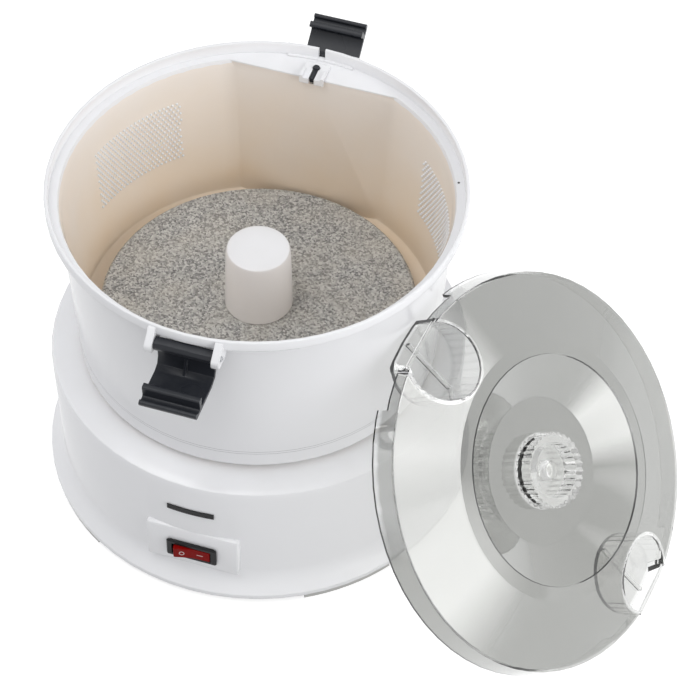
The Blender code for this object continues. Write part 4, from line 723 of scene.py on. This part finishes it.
# %% [markdown]
# The lid is clear plastic. Its plain faces carry a painted grey, which stands in for a grey
# backdrop seen through the lid and for dark reflections in it. Its two pockets and its knob keep
# less of that grey, and its skirt is clearest near the pockets: a mask finds them by their distance
# from the lid's axis and from the pockets' middles. A ray that has passed one wall finds the next
# one clearer, so doubled walls don't turn dark.

# %% Where the lid's middle and its pockets are
lid_axis = Vector(next(joint["axis"] for joint in frame["joints"] if joint["name"] == "lid_off"))
openings = {item["name"]: item["box_m"] for item in frame["record"]["physics"]["openings"]}
pocket_low, pocket_high = [(Vector(openings[name][0]) + Vector(openings[name][1])) / 2
                           for name in ("lid_pocket_1", "lid_pocket_2")]
lid_along = lid_axis.cross(pocket_high - pocket_low).normalized()
lid_across = lid_along.cross(lid_axis).normalized()
knob_points = [vertex.co for vertex in nodes["lid_knob"].data.vertices]
lid_middle = sum(knob_points, Vector()) / len(knob_points)
print("lid's middle", [round(value, 4) for value in lid_middle], "across",
      [round(value, 3) for value in lid_across])

# %% Mask for the lid's clear places
POCKET_DISTANCE = 0.1000
POCKET_RADIUS = 0.0247
POCKET_SHARE = 0.64
KNOB_RADIUS = 0.0226
KNOB_SHARE = 0.45
SKIRT_RADIUS = 0.1162
# Between these distances along the lid, the skirt's painted grey fades out.
SKIRT_CLEAR, SKIRT_PAINTED_GREY = 0.088, 0.104
SOFT_EDGE = 0.0004


def from_lid_middle(group, place, direction):
    """How far a point lies from the lid's middle in one direction."""
    reach = add_vector_math(group, "DOT_PRODUCT", place, direction)
    return add_math(group, "SUBTRACT", reach, lid_middle.dot(direction))


def clear_places_group():
    group, given = new_group("clear_places", [("Edge", SOFT_EDGE)], [("Mask", "Float")])
    place = own_place(group)
    across = from_lid_middle(group, place, lid_across)
    along = from_lid_middle(group, place, lid_along)
    past_pocket = add_math(group, "SUBTRACT", add_math(group, "ABSOLUTE", across), POCKET_DISTANCE)
    from_pocket = add_distance(group, past_pocket, along)
    from_axis = add_distance(group, across, along)
    pocket_rim = add_math(group, "SUBTRACT", POCKET_RADIUS, given["Edge"])
    knob_rim = add_math(group, "SUBTRACT", KNOB_RADIUS, given["Edge"])
    skirt_rim = add_math(group, "ADD", SKIRT_RADIUS, given["Edge"])
    pocket = add_range(group, from_pocket, POCKET_RADIUS, pocket_rim, to_high=POCKET_SHARE)
    knob = add_range(group, from_axis, KNOB_RADIUS, knob_rim, to_high=KNOB_SHARE)
    skirt = add_range(group, from_axis, SKIRT_RADIUS, skirt_rim)
    near_pockets = add_range(group, add_math(group, "ABSOLUTE", along), SKIRT_PAINTED_GREY, SKIRT_CLEAR)
    clear_skirt = add_math(group, "MULTIPLY", skirt, near_pockets)
    return put_out(group, Mask=add_together(group, "MAXIMUM", [pocket, knob, clear_skirt]))


CLEAR_PLACES = clear_places_group()

# %% [markdown]
# Fine scratches from washing up break the lid's gloss. Light from the lamps passes it on the way
# to the drum, so a ray towards a lamp goes straight through.

# %% Clear plastic
# Painted grey for the lid's plain faces: a grey backdrop seen through it and dark reflections.
PAINTED_GREY = (0.33, 0.335, 0.32)
PAINTED_GREY_DARKER = (0.30, 0.305, 0.29)
CLEAREST = (0.94, 0.945, 0.94, 1)
NEXT_WALL = (0.95, 0.95, 0.94, 1)
SHADOW_TINT = (0.86, 0.86, 0.85, 1)
SCRATCHED_GLOSS = 0.16
WALLS_PASSED = 1.5
CLEAR_IOR = 1.58
CLEAR_COAT = 0.8

clear_plastic, tree, shader = new_finish("clear_plastic")
skin = use_effect(tree, MOULDED_SKIN, Colour=PAINTED_GREY, Tint=PAINTED_GREY_DARKER,
                  Mottle=0.8, Grain=120.0, Gloss_low=0.02, Gloss_high=0.045)
scratches = use_effect(tree, FINE_SCRATCHES, Length=14.0, Fineness=1400.0)
clear_places = use_effect(tree, CLEAR_PLACES, Edge=SOFT_EDGE)
path = tree.nodes.new("ShaderNodeLightPath")
next_wall = add_math(tree, "GREATER_THAN", path.outputs["Transmission Depth"], WALLS_PASSED)
# The painted grey gives way to clear plastic over the pockets, the knob and the skirt near the
# pockets.
tint = add_mix(tree, clear_places["Mask"], skin["Colour"], CLEAREST)
tree.links.new(add_mix(tree, next_wall, tint, NEXT_WALL), shader.inputs["Base Color"])
scuffed = add_range(tree, scratches["Mask"], 0.0, 1.0, skin["Roughness"], SCRATCHED_GLOSS)
tree.links.new(scuffed, shader.inputs["Roughness"])
shader.inputs["IOR"].default_value = CLEAR_IOR
shader.inputs["Coat Weight"].default_value = CLEAR_COAT
shader.inputs["Transmission Weight"].default_value = 1.0

straight_through = tree.nodes.new("ShaderNodeBsdfTransparent")
straight_through.inputs["Color"].default_value = SHADOW_TINT
to_a_lamp = add_math(tree, "MAXIMUM", path.outputs["Is Shadow Ray"], path.outputs["Is Diffuse Ray"])
either = tree.nodes.new("ShaderNodeMixShader")
tree.links.new(to_a_lamp, either.inputs[0])
tree.links.new(shader.outputs[0], either.inputs[1])
tree.links.new(straight_through.outputs[0], either.inputs[2])
tree.links.new(either.outputs[0], tree.nodes["Material Output"].inputs["Surface"])
print("clear plastic for the lid and its knob")

# %% [markdown]
# Steel and brass sit inside the base and in the hinges. The disc carries the grit.

# %% Metals and grit
POLISHED = (0.8, 0.8, 0.8, 1)
STARCH = (0.66, 0.61, 0.52, 1)
GRAIN_DEPTH = 0.0004
GRAIN_STRENGTH = 0.8


def metal_finish(name, bright, dull, fineness):
    material, tree, shader = new_finish(name)
    brushed = use_effect(tree, BRUSHED_METAL, Bright=bright, Dull=dull, Fineness=fineness)
    corners = use_effect(tree, WORN_AND_LIT_CORNERS, Width=0.0003, Patchiness=200.0)
    polished = add_mix(tree, corners["Mask"], brushed["Colour"], POLISHED)
    tree.links.new(polished, shader.inputs["Base Color"])
    tree.links.new(brushed["Roughness"], shader.inputs["Roughness"])
    shader.inputs["Metallic"].default_value = 1.0
    add_relief(tree, shader, brushed["Height"], SKIN_DEPTH)
    return material


steel = metal_finish("steel", bright=(0.60, 0.61, 0.63), dull=(0.45, 0.46, 0.48), fineness=900.0)
brass = metal_finish("brass", bright=(0.70, 0.54, 0.26), dull=(0.52, 0.40, 0.20), fineness=700.0)

grit, tree, shader = new_finish("grit")
grains = use_effect(tree, GRIT_GRAINS, Dark=(0.16, 0.16, 0.16), Light=(0.62, 0.62, 0.60), Grain=900.0)
dust = use_effect(tree, SETTLED_DUST, Amount=0.25, Clumps=40.0)
dusty = add_mix(tree, dust["Mask"], grains["Colour"], STARCH)
tree.links.new(dusty, shader.inputs["Base Color"])
tree.links.new(grains["Roughness"], shader.inputs["Roughness"])
add_relief(tree, shader, grains["Height"], GRAIN_DEPTH, GRAIN_STRENGTH)

# %% Give every part its finish
finishes = {
    "white_plastic": white_plastic,
    "anthracite_plastic": anthracite_plastic,
    "black_plastic": black_plastic,
    "red_plastic": red_plastic,
    "grey_rubber": grey_rubber,
    "clear_plastic": clear_plastic,
    "steel": steel,
    "brass": brass,
    "grit": grit,
}
used = {}
for name, obj in nodes.items():
    slot_name = obj.data.materials[0].name.split(".")[0]
    obj.data.materials[0] = white_bowl if name == "bowl" else finishes[slot_name]
    used.setdefault(obj.data.materials[0].name, []).append(name)
print("finishes", {key: len(value) for key, value in used.items()})

# %% [markdown]
# ## Fine relief and marks
#
# Four small things are too fine for the working model: the rough panels inside the bowl, the marks
# on the rocker, the crosses in the screw heads and a hole in the ledge. Each is real mesh, made
# point by point; the crosses and the hole are flat dark sheets of painted shade.

# %% A helper that makes a piece from points and faces


def new_piece(name, points, faces, material, body, corner_angle=40.0):
    mesh = bpy.data.meshes.new(name)
    mesh.from_pydata([tuple(point) for point in points], [], faces)
    mesh.materials.append(material)
    mesh.shade_smooth()
    mesh.set_sharp_from_angle(angle=math.radians(corner_angle))
    piece = bpy.data.objects.new(name, mesh)
    bpy.context.scene.collection.objects.link(piece)
    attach(piece, body)


def body_of(node_name):
    """The body that carries a part of the working model."""
    for body_name, body in frame["bodies"].items():
        if body == nodes[node_name].parent:
            return body_name
    raise ValueError(node_name)


# %% [markdown]
# On each side of the bowl a panel of small teeth, staggered like a nutmeg grater's, rubs the skins
# off. A tooth is a low dome, longer along the turning direction. It is built from three rings: one
# sunk in the wall, one part of the way up and one round its flat top.

# %% One tooth
TOOTH_LENGTH = 0.0010
TOOTH_WIDTH = 0.0008
TOOTH_RISE = 0.0012
TOOTH_SINK = 0.0003
TOOTH_SIDES = 6
TOOTH_RINGS = ((1.0, -TOOTH_SINK), (0.85, TOOTH_RISE * 0.6), (0.4, TOOTH_RISE))
BOWL_WALL = 0.002


def bowl_inner_radius(z):
    return BOWL_MIDDLE_OF_WALL + (z - BOWL_FOOT_Z) * BOWL_LEAN - BOWL_WALL / 2


def tooth(points, faces, azimuth, z, side):
    outwards = Vector((side * math.sin(azimuth), -math.cos(azimuth), 0))
    along = Vector((side * math.cos(azimuth), math.sin(azimuth), 0))
    rise = Vector((0, 0, 1))
    foot = outwards * bowl_inner_radius(z) + rise * z
    start = len(points)
    for share, depth in TOOTH_RINGS:
        for step in range(TOOTH_SIDES):
            angle = 2 * math.pi * step / TOOTH_SIDES
            forwards = along * (math.cos(angle) * TOOTH_LENGTH * share)
            upwards = rise * (math.sin(angle) * TOOTH_WIDTH * share)
            points.append(foot + forwards + upwards - outwards * depth)
    # A mirrored tooth's faces are listed the other way round, so that they face the drum's axis too.
    turning = -side
    for level in range(len(TOOTH_RINGS) - 1):
        for step in range(TOOTH_SIDES):
            following = (step + 1) % TOOTH_SIDES
            low = start + level * TOOTH_SIDES
            high = low + TOOTH_SIDES
            faces.append((low + step, low + following, high + following, high + step)[::turning])
    top = start + (len(TOOTH_RINGS) - 1) * TOOTH_SIDES
    faces.append(tuple(top + step for step in range(TOOTH_SIDES))[::turning])


# %% Rough panels
PANEL_START, PANEL_END = 101.0, 136.0
PANEL_LOW, PANEL_HIGH = 0.148, 0.192
TOOTH_PITCH = 0.0030
ROW_PITCH = TOOTH_PITCH * 0.87
PANEL_CORNER_ANGLE = 80.0

row_count = int((PANEL_HIGH - PANEL_LOW) / ROW_PITCH) + 1
for side, name in ((-1, "rough_panel_left"), (1, "rough_panel_right")):
    points, faces = [], []
    for row in range(row_count):
        z = PANEL_LOW + row * ROW_PITCH
        step = math.degrees(TOOTH_PITCH / bowl_inner_radius(z))
        azimuth = PANEL_START + (step / 2 if row % 2 else 0)
        while azimuth <= PANEL_END:
            tooth(points, faces, math.radians(azimuth), z, side)
            azimuth += step
    new_piece(name, points, faces, white_plastic, body_of("bowl"), PANEL_CORNER_ANGLE)
    print(name, len(faces), "faces")

# %% [markdown]
# The marks on the rocker and the hole in the ledge lie flat on a surface. A ray sent at the
# surface finds where each of their points lies, so they follow its hollow.

# %% Points on a surface
MARK_LIFT = 0.00005


def surface_of(node_name):
    shape = bmesh.new()
    shape.from_object(nodes[node_name], bpy.context.evaluated_depsgraph_get())
    surface = BVHTree.FromBMesh(shape)
    shape.free()
    return surface


def point_on(surface, start, direction):
    """Where a ray meets the surface, lifted just clear of it."""
    hit = surface.ray_cast(Vector(start), Vector(direction))[0]
    return hit - Vector(direction) * MARK_LIFT


def circle_steps(count):
    return [2 * math.pi * step / count for step in range(count)]


# %% [markdown]
# The rocker's marks are printed: a ring on the raised end and a bar on the pressed end.

# %% Marks on the rocker
ROCKER_MIDDLE_Z = 0.0318
IN_FRONT = -0.2
RING_X = -0.0052
RING_OUTER = (0.00160, 0.00165)
RING_INNER = (0.00115, 0.0012)
RING_SIDES = 24
BAR_START = 0.0037
BAR_LENGTH = 0.0038
BAR_STEPS = 6
BAR_HALF_HEIGHT = 0.00026

printed_white, tree, shader = new_finish("printed_white")
ink = use_effect(tree, MOULDED_SKIN, Colour=(0.85, 0.78, 0.76), Tint=(0.62, 0.45, 0.43), Mottle=0.9,
                 Grain=2200.0, Gloss_low=0.35, Gloss_high=0.5)
tree.links.new(ink["Colour"], shader.inputs["Base Color"])
tree.links.new(ink["Roughness"], shader.inputs["Roughness"])
rocker_surface = surface_of("rocker")


def mark_between(name, first, second, closed):
    count = len(first)
    points = [point_on(rocker_surface, (x, IN_FRONT, z), (0, 1, 0)) for x, z in first + second]
    last = count if closed else count - 1
    faces = [(i, (i + 1) % count, count + (i + 1) % count, count + i) for i in range(last)]
    new_piece(name, points, faces, printed_white, body_of("rocker"))


def oval(half_width, half_height):
    return [(RING_X + half_width * math.cos(turn), ROCKER_MIDDLE_Z + half_height * math.sin(turn))
            for turn in circle_steps(RING_SIDES)]


def bar_edge(z):
    return [(BAR_START + BAR_LENGTH * i / BAR_STEPS, z) for i in range(BAR_STEPS + 1)]


mark_between("mark_off", oval(*RING_OUTER), oval(*RING_INNER), closed=True)
mark_between("mark_on", bar_edge(ROCKER_MIDDLE_Z - BAR_HALF_HEIGHT),
             bar_edge(ROCKER_MIDDLE_Z + BAR_HALF_HEIGHT), closed=False)
print("marks on the rocker")

# %% [markdown]
# Each screw has a cross-shaped recess. Its shade is painted as a flat dark cross on the head.

# %% Crosses in the screw heads
CROSS_HALF_LENGTH = 0.0019
CROSS_HALF_WIDTH = 0.00042
CROSS_DROP = 0.00004
SCREW_COUNT = 4


def cross_outline():
    reach, half = CROSS_HALF_LENGTH, CROSS_HALF_WIDTH
    arm = [(reach, -half), (reach, half), (half, half)]
    outline = []
    for quarter in range(4):
        outline += arm
        arm = [(-y, x) for x, y in arm]
    return outline


for number in range(1, SCREW_COUNT + 1):
    low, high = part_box(f"cover_screw_{number}")
    middle_x = (low[0] + high[0]) / 2
    middle_y = (low[1] + high[1]) / 2
    points = [(middle_x + x, middle_y + y, low[2] - CROSS_DROP) for x, y in cross_outline()]
    facing_down = tuple(reversed(range(len(points))))
    # A flat cross of painted shade under each screw head.
    new_piece(f"painted_cross_shade_{number}", points, [facing_down], painted_recess_shade, body_of("cover_screw_1"))
print(SCREW_COUNT, "crosses under the base")

# %% [markdown]
# A small round hole goes down into the ledge on the drum's right. It is drawn as a flat dot of
# painted shade.

# %% Hole in the ledge
HOLE_RADIUS = 0.00075
HOLE_DISTANCE = 0.1164
HOLE_ANGLE = math.radians(22.7)
HOLE_SIDES = 16
ABOVE = 0.3

bowl_surface = surface_of("bowl")
points = []
for turn in circle_steps(HOLE_SIDES):
    x = HOLE_DISTANCE * math.cos(HOLE_ANGLE) + HOLE_RADIUS * math.cos(turn)
    y = HOLE_DISTANCE * math.sin(HOLE_ANGLE) + HOLE_RADIUS * math.sin(turn)
    points.append(point_on(bowl_surface, (x, y, ABOVE), (0, 0, -1)))
# A flat dot of painted shade stands for the hole.
new_piece("ledge_hole_shade", points, [tuple(range(HOLE_SIDES))], painted_recess_shade, body_of("bowl"))
print("ledge hole at", [round(value, 4) for value in points[0]])

# %% Bring the finished model up to date
bpy.context.view_layer.update()
